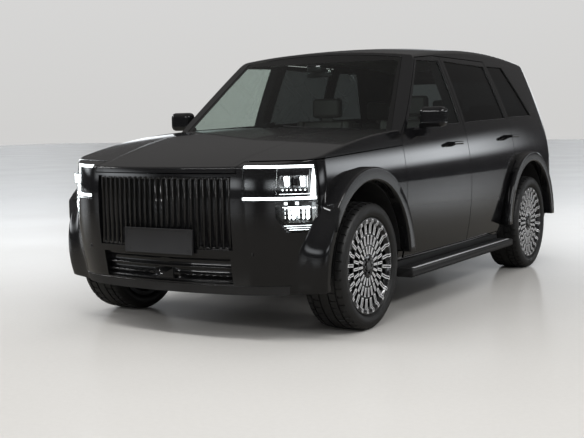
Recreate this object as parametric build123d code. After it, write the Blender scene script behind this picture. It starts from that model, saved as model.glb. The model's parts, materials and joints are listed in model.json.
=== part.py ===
from build123d import *
import math
import os

# A large five door sport utility car, in millimetres. +X is the car's left side, the front
# faces -Y, +Z is up, and the ground is z = 0 with the origin under the middle of the car.

# Overall sizes
FRONT_OVERHANG = 820.0
WHEELBASE = 3030.0
REAR_OVERHANG = 1150.0
HALF_WIDTH = 985.0
ROOF_TOP = 1865.0
SILL_Z = 350.0
Y_FRONT = -(FRONT_OVERHANG + WHEELBASE + REAR_OVERHANG) / 2
Y_FA = Y_FRONT + FRONT_OVERHANG
Y_RA = Y_FA + WHEELBASE
Y_REAR = Y_RA + REAR_OVERHANG

# Section of the body side: arcs that meet tangent at the widest height and at the belt
Z_WIDEST = 800.0
Z_BELT = 1250.0
TUCK_R = 2036.0
SHOULDER_R = 1442.0
GLASS_R = 5190.0

# Plan of the body: arcs that meet tangent, from the nose round to the tail
SIDE_R = 40000.0
SIDE_MID_Y = -100.0
NOSE_R = 2600.0
NOSE_HALF = 520.0
LAMP_R = 620.0
CORNER_R = 200.0
TAIL_R = 4200.0
TAIL_CORNER_R = 385.0
SKIN_SETBACK = 15.0

# Roof, hood and windshield surfaces
ROOF_CROWN_R = 5500.0
ROOF_LENGTH_R = 12000.0
ROOF_PEAK_Y = Y_FA + 2600.0
HOOD_CROWN_R = 11000.0
HOOD_LENGTH_R = 5750.0
HOOD_PEAK_Y = Y_FA + 830.0
HOOD_PEAK_Z = 1252.0
SCREEN_R = 4400.0
SCREEN_ANGLE = 39.5
SCREEN_BASE_Y = Y_FA + 490.0
SCREEN_BASE_Z = 1203.0

# Walls and clearances
SKIN = 50.0
DOOR_THICK = 80.0
FRAME_THICK = 30.0
PANEL_GAP = 6.0
HALF_GAP = PANEL_GAP / 2
SEAT_GAP = 0.3
GLASS_THICK = 5.0
GLASS_INSET = 10.0

# Shut lines, measured back from the front axle
BUMPER_SPLIT_Y = Y_FA - 475.0
DOOR_FRONT = 588.0
DOOR_MID = 1700.0
DOOR_REAR = 2745.0
DOOR_REAR_TOP = 2655.0
DOOR_FRONT_Y = Y_FA + DOOR_FRONT
DOOR_BOTTOM_Z = 372.0
DOOR_TOP_Z = 1742.0
HOOD_LINE_Z = 1036.0
HOOD_LINE_RISE = 0.05
HOOD_REAR_Y = Y_FA + 425.0
HOOD_REAR_R = 2700.0
TAILGATE_SEAM_Y = Y_REAR - 372.0
TAILGATE_BOTTOM_Z = 640.0

# Wheels
TYRE_D = 780.0
TYRE_W = 275.0
TYRE_X = 868.0
BEAD_R = 280.0
ARCH_R = 520.0
ARCH_BAND = 85.0
FLARE_X = 1024.0
LINER_THICK = 6.0
WHEEL_Z = TYRE_D / 2
KINGPIN_X = 745.0
DISC_R = 178.0
DISC_THICK = 32.0
DISC_X = 812.0
HUB_BORE_R = 30.0

PARTS = "parts"
os.makedirs(PARTS, exist_ok=True)


def save(name, shape):
    export_step(shape, f"{PARTS}/{name}.step")


def box(x0, x1, y0, y1, z0, z1):
    return Pos((x0 + x1) / 2, (y0 + y1) / 2, (z0 + z1) / 2) * Box(x1 - x0, y1 - y0, z1 - z0)


def side_prism(points, x0, x1):
    """Prism along X on an outline of (y, z) points."""
    face = Plane.YZ.offset(x0) * make_face(Polyline(*points, close=True))
    return extrude(face, x1 - x0)


def front_prism(points, y0, y1, radius=0.0):
    """Prism along Y on an outline of (x, z) points, its corners rounded."""
    outline = make_face(Polyline(*points, close=True))
    if radius:
        outline = fillet(outline.vertices(), radius)
    plane = Plane(origin=(0, y1, 0), x_dir=(1, 0, 0), z_dir=(0, -1, 0))
    return extrude(plane * outline, y1 - y0)


def plan_prism(points, z0, z1):
    return extrude(Plane.XY.offset(z0) * make_face(Polyline(*points, close=True)), z1 - z0)


def rod_x(radius, x0, x1, y, z):
    return Pos((x0 + x1) / 2, y, z) * Rot(0, 90, 0) * Cylinder(radius, abs(x1 - x0))


def pair(shape):
    """The shape and its mirror image on the other side of the car."""
    return Compound([*shape.solids(), *mirror(shape, about=Plane.YZ).solids()])


def flip(shape):
    return mirror(shape, about=Plane.YZ)


# Body surface. The section is an arc below the widest height, one above it to the belt, and
# a flatter one to the roof. An inset surface has the same centres and radii smaller by it.
BELT_ANGLE = math.asin((Z_BELT - Z_WIDEST) / SHOULDER_R)


def section_r(z, inset):
    joint = Z_WIDEST + (SHOULDER_R - inset) * math.sin(BELT_ANGLE)
    if z <= Z_WIDEST:
        centre_r, centre_z, radius = -TUCK_R, Z_WIDEST, TUCK_R - inset
    elif z <= joint:
        centre_r, centre_z, radius = -SHOULDER_R, Z_WIDEST, SHOULDER_R - inset
    else:
        centre_r = -SHOULDER_R + (SHOULDER_R - GLASS_R) * math.cos(BELT_ANGLE)
        centre_z = Z_WIDEST + (SHOULDER_R - GLASS_R) * math.sin(BELT_ANGLE)
        radius = GLASS_R - inset
    return centre_r + math.sqrt(radius ** 2 - (z - centre_z) ** 2)


def section_arcs(inset, z0, z1, offset):
    joint = Z_WIDEST + (SHOULDER_R - inset) * math.sin(BELT_ANGLE)
    heights = [z0] + [z for z in (Z_WIDEST, joint) if z0 + 1 < z < z1 - 1] + [z1]
    arcs = []
    for low, high in zip(heights, heights[1:]):
        arcs.append(ThreePointArc(*[(section_r(z, inset) + offset, z)
                                    for z in (low, (low + high) / 2, high)]))
    return arcs


def wall_face(outer, inner, z0, z1, offset):
    ends = [Line((section_r(z, outer) + offset, z), (section_r(z, inner) + offset, z))
            for z in (z0, z1)]
    return make_face(section_arcs(outer, z0, z1, offset) + section_arcs(inner, z0, z1, offset) + ends)


def filled_face(outer, depth, z0, z1, offset):
    back = offset - depth
    ends = [Line((section_r(z, outer) + offset, z), (back, z)) for z in (z0, z1)]
    return make_face(section_arcs(outer, z0, z1, offset) + ends + [Line((back, z0), (back, z1))])


def touching_centre(a, a_radius, b, b_radius, radius, choose):
    """Centre of the arc that lies inside two circles and touches both."""
    from_a, from_b = a_radius - radius, b_radius - radius
    dx, dy = b[0] - a[0], b[1] - a[1]
    span = math.hypot(dx, dy)
    along = (from_a ** 2 - from_b ** 2 + span ** 2) / (2 * span)
    off = math.sqrt(from_a ** 2 - along ** 2)
    foot = (a[0] + along * dx / span, a[1] + along * dy / span)
    spots = [(foot[0] - s * off * dy / span, foot[1] + s * off * dx / span) for s in (1, -1)]
    return max(spots, key=choose)


def bearing(start, end):
    return math.degrees(math.atan2(end[1] - start[1], end[0] - start[0]))


side_c = (HALF_WIDTH - SIDE_R, SIDE_MID_Y)
nose_c = (0.0, Y_FRONT + SKIN_SETBACK + NOSE_R)
nose_turn = math.asin(NOSE_HALF / NOSE_R)
lamp_c = (nose_c[0] + (NOSE_R - LAMP_R) * math.sin(nose_turn),
          nose_c[1] - (NOSE_R - LAMP_R) * math.cos(nose_turn))
corner_c = touching_centre(lamp_c, LAMP_R, side_c, SIDE_R, CORNER_R, lambda c: c[0] - c[1])
tail_c = (0.0, Y_REAR - SKIN_SETBACK - TAIL_R)
rear_c = touching_centre(tail_c, TAIL_R, side_c, SIDE_R, TAIL_CORNER_R, lambda c: c[0] + c[1])

# Columns: centre, radius, first and last bearing in degrees
PLAN = {
    "nose": (nose_c, NOSE_R, -90.0, -90.0 + math.degrees(nose_turn)),
    "lamp": (lamp_c, LAMP_R, -90.0 + math.degrees(nose_turn), bearing(lamp_c, corner_c)),
    "corner": (corner_c, CORNER_R, bearing(lamp_c, corner_c), bearing(side_c, corner_c)),
    "side": (side_c, SIDE_R, bearing(side_c, corner_c), bearing(side_c, rear_c)),
    "rear": (rear_c, TAIL_CORNER_R, bearing(side_c, rear_c), bearing(tail_c, rear_c)),
    "tail": (tail_c, TAIL_R, bearing(tail_c, rear_c), 90.0),
}
FRONT_ARCS = ("nose", "lamp", "corner", "side")
BACK_ARCS = ("side", "rear", "tail")


def plan_point(arc, angle, inset=0.0):
    centre, radius, _, _ = PLAN[arc]
    turn = math.radians(angle)
    return (centre[0] + (radius - inset) * math.cos(turn),
            centre[1] + (radius - inset) * math.sin(turn))


def turned(arc, face):
    """A section face turned along one arc of the plan."""
    centre, _, first, last = PLAN[arc]
    turn = math.radians(first)
    out = (math.cos(turn), math.sin(turn), 0)
    plane = Plane(origin=(centre[0], centre[1], 0), x_dir=out, z_dir=(out[1], -out[0], 0))
    return revolve(plane * face, Axis((centre[0], centre[1], 0), (0, 0, 1)), last - first)


def band(arc, outer, inner, z0, z1):
    """Stretch of the body wall between two insets, along one arc of the plan."""
    return turned(arc, wall_face(outer, inner, z0, z1, PLAN[arc][1]))


def wall(arcs, outer, inner, z0, z1):
    """The body wall on the left side, over several arcs."""
    whole = band(arcs[0], outer, inner, z0, z1)
    for arc in arcs[1:]:
        whole += band(arc, outer, inner, z0, z1)
    return whole


def plan_face(arcs, inset):
    edges, ends = [], []
    for arc in arcs:
        _, _, first, last = PLAN[arc]
        points = [plan_point(arc, a, inset) for a in (first, (first + last) / 2, last)]
        ends += [points[0], points[-1]]
        edges += [ThreePointArc(*points), ThreePointArc(*[(-x, y) for x, y in points])]
    for x, y in (ends[0], ends[-1]):
        if abs(x) > 1.0:
            edges.append(Line((x, y), (-x, y)))
    return make_face(edges)


def hull(arcs, inset, core, z0, z1):
    """Filled body form: the wall on both sides and a core that fills it."""
    faces = [(arc, filled_face(inset, core + 8.0, z0, z1, PLAN[arc][1])) for arc in arcs]
    side = turned(*faces[0])
    for arc, face in faces[1:]:
        side += turned(arc, face)
    return extrude(Plane.XY.offset(z0) * plan_face(arcs, core), z1 - z0) + side + flip(side)


def crowned_top(peak_y, peak_z, length_r, crown_r, bottom_z, half=1150.0, reach=24.0):
    """Everything under a surface that is an arc across the car, turned along it."""
    edge_z = peak_z - crown_r + math.sqrt(crown_r ** 2 - half ** 2)
    face = make_face([ThreePointArc((-half, edge_z), (0, peak_z), (half, edge_z)),
                      Line((half, edge_z), (half, bottom_z)),
                      Line((half, bottom_z), (-half, bottom_z)),
                      Line((-half, bottom_z), (-half, edge_z))])
    plane = Plane(origin=(0, peak_y, 0), x_dir=(1, 0, 0), z_dir=(0, -1, 0))
    axis = Axis((0, peak_y, peak_z - length_r), (1, 0, 0))
    start = (plane * face).rotate(axis, -reach / 2)
    return revolve(start, axis, reach)


def screen_side(inset):
    """Everything behind the curved windshield surface."""
    tilt = math.radians(SCREEN_ANGLE)
    along = Vector(0, math.cos(tilt), math.sin(tilt))
    inward = Vector(0, math.sin(tilt), -math.cos(tilt))
    start = Vector(0, SCREEN_BASE_Y, SCREEN_BASE_Z) + inward * SCREEN_R - along * 1000
    plane = Plane(origin=start, x_dir=(1, 0, 0), z_dir=along)
    return extrude(plane * Circle(SCREEN_R - inset), 3000)


# Filled forms: the nose and hood, and the cabin from the cowl to the tail. The cutting boxes
# reach past the body to these planes.
AHEAD_Y = Y_FRONT - 60.0
BEHIND_Y = Y_REAR + 100.0
BELOW_Z = 200.0
ABOVE_Z = 2000.0
HOOD_EDGE_R = 22.0
ROOF_EDGE_R = 70.0
ROOF_WALL = 45.0
COWL_Y = Y_FA + 700.0
BUMPER_BOTTOM_Z = 280.0
FAR = 1200.0


def nose_form(inset, bottom_z, drop):
    top = crowned_top(HOOD_PEAK_Y, HOOD_PEAK_Z - drop, HOOD_LENGTH_R, HOOD_CROWN_R, 100, reach=40)
    zone = box(-FAR, FAR, Y_FRONT - 100, COWL_Y + drop, bottom_z, 1400)
    return hull(FRONT_ARCS, inset, 150, bottom_z, 1280) & top & zone


def cabin_form(inset, bottom_z, drop):
    top = crowned_top(ROOF_PEAK_Y, ROOF_TOP - drop, ROOF_LENGTH_R, ROOF_CROWN_R, 100)
    form = hull(BACK_ARCS, inset, 365, bottom_z, 1890 - drop) & top
    form &= box(-FAR, FAR, Y_FA + 420 - drop, BEHIND_Y, bottom_z, ABOVE_Z)
    ahead = box(-FAR, FAR, Y_FA, Y_FA + 2000, SCREEN_BASE_Z - 40, ABOVE_Z) - screen_side(drop)
    return form - ahead


def long_edges(shape, low_z, steepest):
    return [e for e in shape.edges() if e.center().Z > low_z and e.length > 60
            and abs(e.tangent_at(0.5).Z) < steepest]


nose_solid = nose_form(0, BUMPER_BOTTOM_Z, 0)
hood_rim = [e for e in long_edges(nose_solid, 980, 0.5) if e.center().Y < COWL_Y - 30]
nose_solid = fillet(hood_rim, HOOD_EDGE_R)
front_shell = nose_solid - nose_form(SKIN, BUMPER_BOTTOM_Z - 60, ROOF_WALL)
cabin_solid = cabin_form(0, SILL_Z, 0)
cabin_solid = fillet(long_edges(cabin_solid, 1730, 0.55), ROOF_EDGE_R)
cabin_shell = cabin_solid - cabin_form(SKIN, SILL_Z - 60, ROOF_WALL)

# Wheel openings, cut through the wings and the rear quarters
arch_holes = [rod_x(ARCH_R, side * 560, side * FAR, y, WHEEL_Z)
              for side in (-1, 1) for y in (Y_FA, Y_RA)]


def less(shape, cutters):
    for cutter in cutters:
        shape -= cutter
    return shape


# Shut lines of the hood: a rising line along the shoulder and a drop over the grille
HOOD_DROP_HALF = 520.0
HOOD_DROP_Z = 985.0


def above_hood_line(offset):
    start, end = AHEAD_Y, COWL_Y + 60
    rise = HOOD_LINE_RISE * (end - start)
    zone = side_prism([(start, HOOD_LINE_Z + offset), (end, HOOD_LINE_Z + rise + offset),
                       (end, 1500), (start, 1500)], -FAR, FAR)
    return zone + box(-HOOD_DROP_HALF + offset, HOOD_DROP_HALF - offset, AHEAD_Y,
                      Y_FA - 600, HOOD_DROP_Z + offset, 1400)


def behind_hood(offset):
    rear = Pos(0, HOOD_REAR_Y + HOOD_REAR_R + offset, 1200) * Cylinder(HOOD_REAR_R, 900)
    return rear & box(-FAR, FAR, HOOD_REAR_Y - 10, COWL_Y + 200, 800, 1500)


hood = (front_shell & above_hood_line(HALF_GAP)) - behind_hood(-HALF_GAP)
below_hood = front_shell - above_hood_line(-HALF_GAP)

# Front lamps: an upper strip and a lower block on each side, outlines as (x, z)
LAMP_IN_X = 560.0
LAMP_OUT_X = 915.0
LAMP_TOP_Z = 1031.0
LAMP_STEP_Z = 822.0
LAMP_STEP_X = 735.0
LAMP_LOW_Z = 645.0
BAR_HEIGHT = 14.0
LAMP_BACK_Y = BUMPER_SPLIT_Y - 10.0
UPPER_BAR_Z = 1020.0
LOWER_BAR_Z = 840.0
LAMP_BAR_IN = 8.0
LAMP_BACK_IN = 30.0
LAMP_BACK_THICK = 32.0
PROJECTOR_IN = 14.0
LAMP_CORNER_X = 50.0
LAMP_CORNER_Z = 90.0


def lamp_zone(shrink):
    outline = [(LAMP_IN_X + shrink, LAMP_TOP_Z - shrink), (LAMP_OUT_X - shrink, LAMP_TOP_Z - shrink),
               (LAMP_OUT_X - shrink, LAMP_LOW_Z + shrink), (LAMP_STEP_X + LAMP_CORNER_X, LAMP_LOW_Z + shrink),
               (LAMP_STEP_X + shrink, LAMP_LOW_Z + LAMP_CORNER_Z), (LAMP_STEP_X + shrink, LAMP_STEP_Z + shrink),
               (LAMP_IN_X + shrink, LAMP_STEP_Z + shrink)]
    return front_prism(outline, AHEAD_Y, LAMP_BACK_Y)


LAMP_ARCS = ("nose", "lamp", "corner")
lamp_cut = lamp_zone(0)
lamp_inside = lamp_zone(2)
lamp_back = wall(LAMP_ARCS, LAMP_BACK_IN, LAMP_BACK_IN + LAMP_BACK_THICK, 600, 1080) & lamp_inside
lens = wall(LAMP_ARCS, 2, 6, 600, 1080) & lamp_inside
bar_wall = wall(LAMP_ARCS, LAMP_BAR_IN, LAMP_BACK_IN, 600, 1080)
upper_bar = bar_wall & box(LAMP_IN_X + 3, LAMP_OUT_X - 14, AHEAD_Y, LAMP_BACK_Y,
                           UPPER_BAR_Z - BAR_HEIGHT / 2, UPPER_BAR_Z + BAR_HEIGHT / 2)
lower_bar = bar_wall & box(LAMP_IN_X + 3, LAMP_OUT_X - 14, AHEAD_Y, LAMP_BACK_Y,
                           LOWER_BAR_Z - BAR_HEIGHT / 2, LOWER_BAR_Z + BAR_HEIGHT / 2)
end_bar = bar_wall & box(LAMP_OUT_X - 34, LAMP_OUT_X - 20, AHEAD_Y, LAMP_BACK_Y,
                         LOWER_BAR_Z + BAR_HEIGHT / 2, UPPER_BAR_Z - BAR_HEIGHT)
# Columns: middle x, middle z, width, height of each projector
PROJECTORS = ((770.0, 935.0, 50.0, 62.0), (838.0, 935.0, 62.0, 62.0), (822.0, 748.0, 110.0, 70.0))
projector_wall = wall(LAMP_ARCS, PROJECTOR_IN, LAMP_BACK_IN + 4, 600, 1080)
headlamp = lamp_back
for mid_x, mid_z, wide, high in PROJECTORS:
    headlamp += projector_wall & box(mid_x - wide / 2, mid_x + wide / 2, AHEAD_Y, LAMP_BACK_Y,
                                     mid_z - high / 2, mid_z + high / 2)
bars = upper_bar + lower_bar + end_bar

# Front bumper with the grille and lower intake openings
GRILLE_HALF = 492.0
GRILLE_LOW_Z = 545.0
GRILLE_TOP_Z = 968.0
GRILLE_BACK_Y = Y_FA - 600.0
INTAKE_HALF = 470.0
INTAKE_LOW_Z = 345.0
INTAKE_TOP_Z = 505.0
grille_hole = box(-GRILLE_HALF, GRILLE_HALF, AHEAD_Y, GRILLE_BACK_Y, GRILLE_LOW_Z, GRILLE_TOP_Z)
intake_hole = box(-INTAKE_HALF, INTAKE_HALF, AHEAD_Y, GRILLE_BACK_Y, INTAKE_LOW_Z, INTAKE_TOP_Z)
front_bumper = below_hood & box(-FAR, FAR, AHEAD_Y, BUMPER_SPLIT_Y - HALF_GAP, BELOW_Z, 1200)
front_bumper = less(front_bumper, arch_holes + [grille_hole, intake_hole, lamp_cut, flip(lamp_cut)])
front_fenders = below_hood & box(-FAR, FAR, BUMPER_SPLIT_Y + HALF_GAP,
                                 DOOR_FRONT_Y - HALF_GAP, SILL_Z, 1200)
front_fenders = less(front_fenders, arch_holes)

# Grille: upright bars that follow the nose between a top and a bottom rail, over a back panel
BAR_PITCH = 41.0
BAR_COUNT = 24
GRILLE_BAR_W = 19.0
GRILLE_BAR_DEEP = 34.0
GRILLE_BAR_IN = 18.0
BAR_BEVEL = 5.0
BACK_PANEL_IN = 40.0
BACK_PANEL_THICK = 8.0
SENSOR_HALF = 65.0
SENSOR_LOW_Z = 362.0
SENSOR_TOP_Z = 420.0
SENSOR_MID_Z = 390.0


def nose_y(x, inset, z=Z_WIDEST):
    return nose_c[1] - math.sqrt((NOSE_R - inset + section_r(z, 0)) ** 2 - x ** 2)


back_panel = band("nose", BACK_PANEL_IN, BACK_PANEL_IN + BACK_PANEL_THICK, GRILLE_LOW_Z + 1, GRILLE_TOP_Z - 1)
rails = back_panel + flip(back_panel)
for low, high in ((GRILLE_LOW_Z + 1, GRILLE_LOW_Z + 16), (GRILLE_TOP_Z - 16, GRILLE_TOP_Z - 1)):
    rail = band("nose", 10, 44, low, high)
    rails += rail + flip(rail)
rails &= box(-GRILLE_HALF + SEAT_GAP, GRILLE_HALF - SEAT_GAP, AHEAD_Y, Y_FA - 500, 0, 1200)
grille = rails
for index in range(BAR_COUNT):
    bar_x = (index - (BAR_COUNT - 1) / 2) * BAR_PITCH
    face_y = nose_y(bar_x, GRILLE_BAR_IN)
    half = GRILLE_BAR_W / 2
    profile = [(bar_x - half, face_y + GRILLE_BAR_DEEP), (bar_x - half, face_y + BAR_BEVEL),
               (bar_x - half + BAR_BEVEL, face_y), (bar_x + half - BAR_BEVEL, face_y),
               (bar_x + half, face_y + BAR_BEVEL), (bar_x + half, face_y + GRILLE_BAR_DEEP)]
    grille += plan_prism(profile, GRILLE_LOW_Z + 10, GRILLE_TOP_Z - 10)
# Columns: lowest and highest z of each slat in the lower intake
SLATS = ((INTAKE_LOW_Z + 1, INTAKE_LOW_Z + 15), (385.0, 397.0), (430.0, 442.0),
         (INTAKE_TOP_Z - 15, INTAKE_TOP_Z - 1))
intake = band("nose", BACK_PANEL_IN, BACK_PANEL_IN + BACK_PANEL_THICK, INTAKE_LOW_Z + 1, INTAKE_TOP_Z - 1)
intake += flip(intake)
for low, high in SLATS:
    slat = band("nose", 16, 44, low, high)
    intake += slat + flip(slat)
intake += box(-SENSOR_HALF, SENSOR_HALF, nose_y(0, 14, SENSOR_MID_Z),
              nose_y(0, BACK_PANEL_IN + BACK_PANEL_THICK, SENSOR_MID_Z), SENSOR_LOW_Z, SENSOR_TOP_Z)
intake &= box(-INTAKE_HALF + SEAT_GAP, INTAKE_HALF - SEAT_GAP, AHEAD_Y, Y_FA - 500, 0, 1200)

# Blank plate carrier, screwed to the bottom of the grille
PLATE_W = 500.0
PLATE_H = 148.0
PLATE_Z = 587.0
PLATE_THICK = 14.0
PLATE_HOLE_X = 215.0
PLATE_HOLE_Z = 48.0
PLATE_HOLE_R = 3.0
plate_y = nose_y(0, 0, GRILLE_LOW_Z) - SEAT_GAP
plate_holder = box(-PLATE_W / 2, PLATE_W / 2, plate_y - PLATE_THICK, plate_y,
                   PLATE_Z - PLATE_H / 2, PLATE_Z + PLATE_H / 2)

for hole_x in (-PLATE_HOLE_X, PLATE_HOLE_X):
    for hole_z in (PLATE_Z - PLATE_HOLE_Z, PLATE_Z + PLATE_HOLE_Z):
        plate_holder -= Pos(hole_x, plate_y - PLATE_THICK / 2, hole_z) * Rot(90, 0, 0) * Cylinder(
            PLATE_HOLE_R, PLATE_THICK + 2)

# Windshield opening and glass, outline as (x, z)
SCREEN_LOW_HALF = 862.0
SCREEN_TOP_HALF = 655.0
SCREEN_TOP_Z = 1762.0


def screen_zone(shrink):
    """Prism along Y whose top edge is crowned as the roof is."""
    low_half, top_half, top_z = (v - shrink for v in (SCREEN_LOW_HALF, SCREEN_TOP_HALF, SCREEN_TOP_Z))
    edge_z = top_z - ROOF_CROWN_R + math.sqrt(ROOF_CROWN_R ** 2 - top_half ** 2)
    low_z = SCREEN_BASE_Z - 53.0
    face = make_face([Line((-low_half, low_z), (low_half, low_z)),
                      Line((low_half, low_z), (top_half, edge_z)),
                      ThreePointArc((top_half, edge_z), (0, top_z), (-top_half, edge_z)),
                      Line((-top_half, edge_z), (-low_half, low_z))])
    plane = Plane(origin=(0, Y_FA + 1400, 0), x_dir=(1, 0, 0), z_dir=(0, -1, 0))
    return extrude(plane * face, 1150)


screen_hole = screen_zone(0)
windshield = (screen_side(2) - screen_side(2 + GLASS_THICK)) & screen_zone(3)
windshield &= box(-FAR, FAR, Y_FA, Y_FA + 1500, SCREEN_BASE_Z - 36, 1900)

# Door outlines and window outlines as (y, z), y measured back from the front axle. The windows
# keep clear of the post between the doors by these two.
POST_AHEAD = 48.0
POST_BEHIND = 50.0
FRONT_DOOR = [(DOOR_FRONT + HALF_GAP, DOOR_BOTTOM_Z), (DOOR_FRONT + HALF_GAP, 1122), (612, 1172),
              (1240, 1716), (1560, DOOR_TOP_Z), (DOOR_MID - HALF_GAP, DOOR_TOP_Z),
              (DOOR_MID - HALF_GAP, DOOR_BOTTOM_Z)]
REAR_DOOR = [(DOOR_MID + HALF_GAP, DOOR_BOTTOM_Z), (DOOR_MID + HALF_GAP, DOOR_TOP_Z),
             (DOOR_REAR_TOP, DOOR_TOP_Z), (DOOR_REAR, 1284), (DOOR_REAR, 800), (2600, DOOR_BOTTOM_Z)]
FRONT_WINDOW = [(704, 1216), (1250, 1700), (DOOR_MID - POST_AHEAD, 1712), (DOOR_MID - POST_AHEAD, 1246)]
REAR_WINDOW = [(DOOR_MID + POST_BEHIND, 1249), (DOOR_MID + POST_BEHIND, 1714), (2622, 1704), (2702, 1277)]
QUARTER_WINDOW = [(2790, 1285), (2704, 1712), (3110, 1716), (3470, 1300)]


def outline(points, grow=0.0):
    face = make_face(Polyline(*[(Y_FA + y, z) for y, z in points], close=True))
    if grow:
        face = offset(face, amount=grow, kind=Kind.INTERSECTION)
    return extrude(Plane.YZ.offset(400) * face, 800)


door_wall = band("side", 0, DOOR_THICK, SILL_Z, 1236) + band("side", 0, FRAME_THICK, 1230, 1790)
rear_arch = rod_x(ARCH_R + ARCH_BAND + PANEL_GAP, 500, FAR, Y_RA, WHEEL_Z)
front_arch = rod_x(ARCH_R + ARCH_BAND + PANEL_GAP, 500, FAR, Y_FA, WHEEL_Z)
# The rear door's edge widens its HALF_GAP to the flare inwards, so that it clears the flare as it swings
DOOR_FLARE_GAP = 8.0
DOOR_EDGE_TAPER = 0.1
taper_x = (HALF_WIDTH - 300, HALF_WIDTH + 100)
taper_r = [ARCH_R + ARCH_BAND + DOOR_FLARE_GAP + DOOR_EDGE_TAPER * (HALF_WIDTH - x) for x in taper_x]
door_arch = Pos(sum(taper_x) / 2, Y_RA, WHEEL_Z) * Rot(0, 90, 0) * Cone(*taper_r, taper_x[1] - taper_x[0])

# A door's rear edge is cut back, and more behind its skin, so that it clears the body as it swings
DOOR_SKIN = 20.0
DOOR_EDGE_TRIM = 2.0
DOOR_REBATE = 12.0
behind_skin = band("side", DOOR_SKIN, DOOR_THICK + 10, SILL_Z - 10, 1800)


def door_panel(points, window_points):
    door = door_wall & outline(points) & Pos(0, -DOOR_EDGE_TRIM, 0) * outline(points)
    return door - (behind_skin - Pos(0, -DOOR_REBATE, 0) * outline(points)) - outline(window_points)


door_front = door_panel(FRONT_DOOR, FRONT_WINDOW) - front_arch
door_rear = door_panel(REAR_DOOR, REAR_WINDOW) - door_arch
glass_wall = band("side", GLASS_INSET, GLASS_INSET + GLASS_THICK, 1150, 1760)
window_front = glass_wall & outline(FRONT_WINDOW, -SEAT_GAP)
window_rear = glass_wall & outline(REAR_WINDOW, -SEAT_GAP)
quarter_glass = glass_wall & outline(QUARTER_WINDOW, -SEAT_GAP)

# Roof panel between the side seams, from the header to the tailgate seam
ROOF_SEAM_X = 590.0
ROOF_FRONT_Y = Y_FA + 900.0
ROOF_LOW_Z = 1690.0
roof_zone = box(-ROOF_SEAM_X, ROOF_SEAM_X, ROOF_FRONT_Y, TAILGATE_SEAM_Y - HALF_GAP, ROOF_LOW_Z, ABOVE_Z)
roof_panel = (cabin_shell & roof_zone) - screen_hole

# Tailgate outline as (x, z), with the rear window
TAILGATE = [(-690, TAILGATE_BOTTOM_Z), (690, TAILGATE_BOTTOM_Z), (715, 1000), (715, 1240),
            (575, 1700), (575, ABOVE_Z), (-575, ABOVE_Z), (-575, 1700), (-715, 1240), (-715, 1000)]
REAR_SCREEN = [(-630, 1290), (630, 1290), (510, 1690), (-510, 1690)]


def grown(points, by):
    """Outline with each point moved out from the middle plane and off its ends."""
    low, high = min(z for _, z in points), max(z for _, z in points)
    return [(x + by * math.copysign(1, x), z - by if z == low else z + by if z == high else z)
            for x, z in points]


tailgate_zone = front_prism(TAILGATE, TAILGATE_SEAM_Y + HALF_GAP, BEHIND_Y)
tailgate_hole = front_prism(grown(TAILGATE, PANEL_GAP), TAILGATE_SEAM_Y - HALF_GAP, BEHIND_Y)
rear_screen_zone = front_prism(REAR_SCREEN, Y_REAR - 400, BEHIND_Y)
tailgate = (cabin_shell & tailgate_zone) - rear_screen_zone
SPOILER_REACH = 150.0
SPOILER_THICK = 26.0
SPOILER_HALF = 560.0
SPOILER_FRONT_Y = TAILGATE_SEAM_Y + 40.0
spoiler_top = crowned_top(ROOF_PEAK_Y, ROOF_TOP, ROOF_LENGTH_R, ROOF_CROWN_R, 100)
spoiler = spoiler_top - Pos(0, 0, -SPOILER_THICK) * spoiler_top
spoiler &= box(-SPOILER_HALF, SPOILER_HALF, SPOILER_FRONT_Y, SPOILER_FRONT_Y + SPOILER_REACH, 1700, 1900)
tailgate += spoiler
back_wall = wall(("rear", "tail"), GLASS_INSET, GLASS_INSET + GLASS_THICK, 1280, 1700)
back_wall += flip(back_wall)
tailgate_glass = back_wall & front_prism(grown(REAR_SCREEN, -SEAT_GAP), Y_REAR - 400, BEHIND_Y)

# The tailgate's hinges: a pad under the roof's rear edge, and a tongue that reaches into the gate
HINGE_IN_X = 360.0
HINGE_OUT_X = 440.0
HINGE_LOW_Z = 1600.0
HINGE_TOP_Z = 1900.0
TONGUE_THICK = 14.0
hinge_pad = crowned_top(ROOF_PEAK_Y, ROOF_TOP - ROOF_WALL + 5, ROOF_LENGTH_R, ROOF_CROWN_R, 100)
hinge_pad &= box(HINGE_IN_X, HINGE_OUT_X, TAILGATE_SEAM_Y - 80, TAILGATE_SEAM_Y - HALF_GAP,
                 HINGE_LOW_Z, HINGE_TOP_Z)
tongue = crowned_top(ROOF_PEAK_Y, ROOF_TOP - ROOF_WALL - SEAT_GAP, ROOF_LENGTH_R, ROOF_CROWN_R, 100)
hinge_pad += tongue & box(HINGE_IN_X, HINGE_OUT_X, TAILGATE_SEAM_Y - 20, TAILGATE_SEAM_Y + 16,
                          HINGE_LOW_Z, HINGE_TOP_Z)
hinge_pad -= Pos(0, 0, -TONGUE_THICK) * tongue
roof_panel += hinge_pad + flip(hinge_pad)

# Tail lamps at the rear corners, and the rear bumper under the tailgate
TAIL_LAMP_IN_X = 728.0
TAIL_LAMP_LOW_Z = 850.0
TAIL_LAMP_TOP_Z = 1130.0


def tail_lamp_zone(shrink):
    return box(TAIL_LAMP_IN_X + shrink, FAR, Y_REAR - 290 + shrink, Y_REAR + 60,
               TAIL_LAMP_LOW_Z + shrink, TAIL_LAMP_TOP_Z - shrink)


tail_lamp = wall(BACK_ARCS, 2, 44, 820, 1160) & tail_lamp_zone(SEAT_GAP)
REAR_BUMPER_TOP_Z = 634.0
REAR_BUMPER_FRONT_Y = Y_RA + 380.0
bumper_zone = box(-FAR, FAR, REAR_BUMPER_FRONT_Y + PANEL_GAP, BEHIND_Y, BELOW_Z, REAR_BUMPER_TOP_Z)
rear_bumper = less(cabin_shell & bumper_zone, arch_holes)

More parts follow.
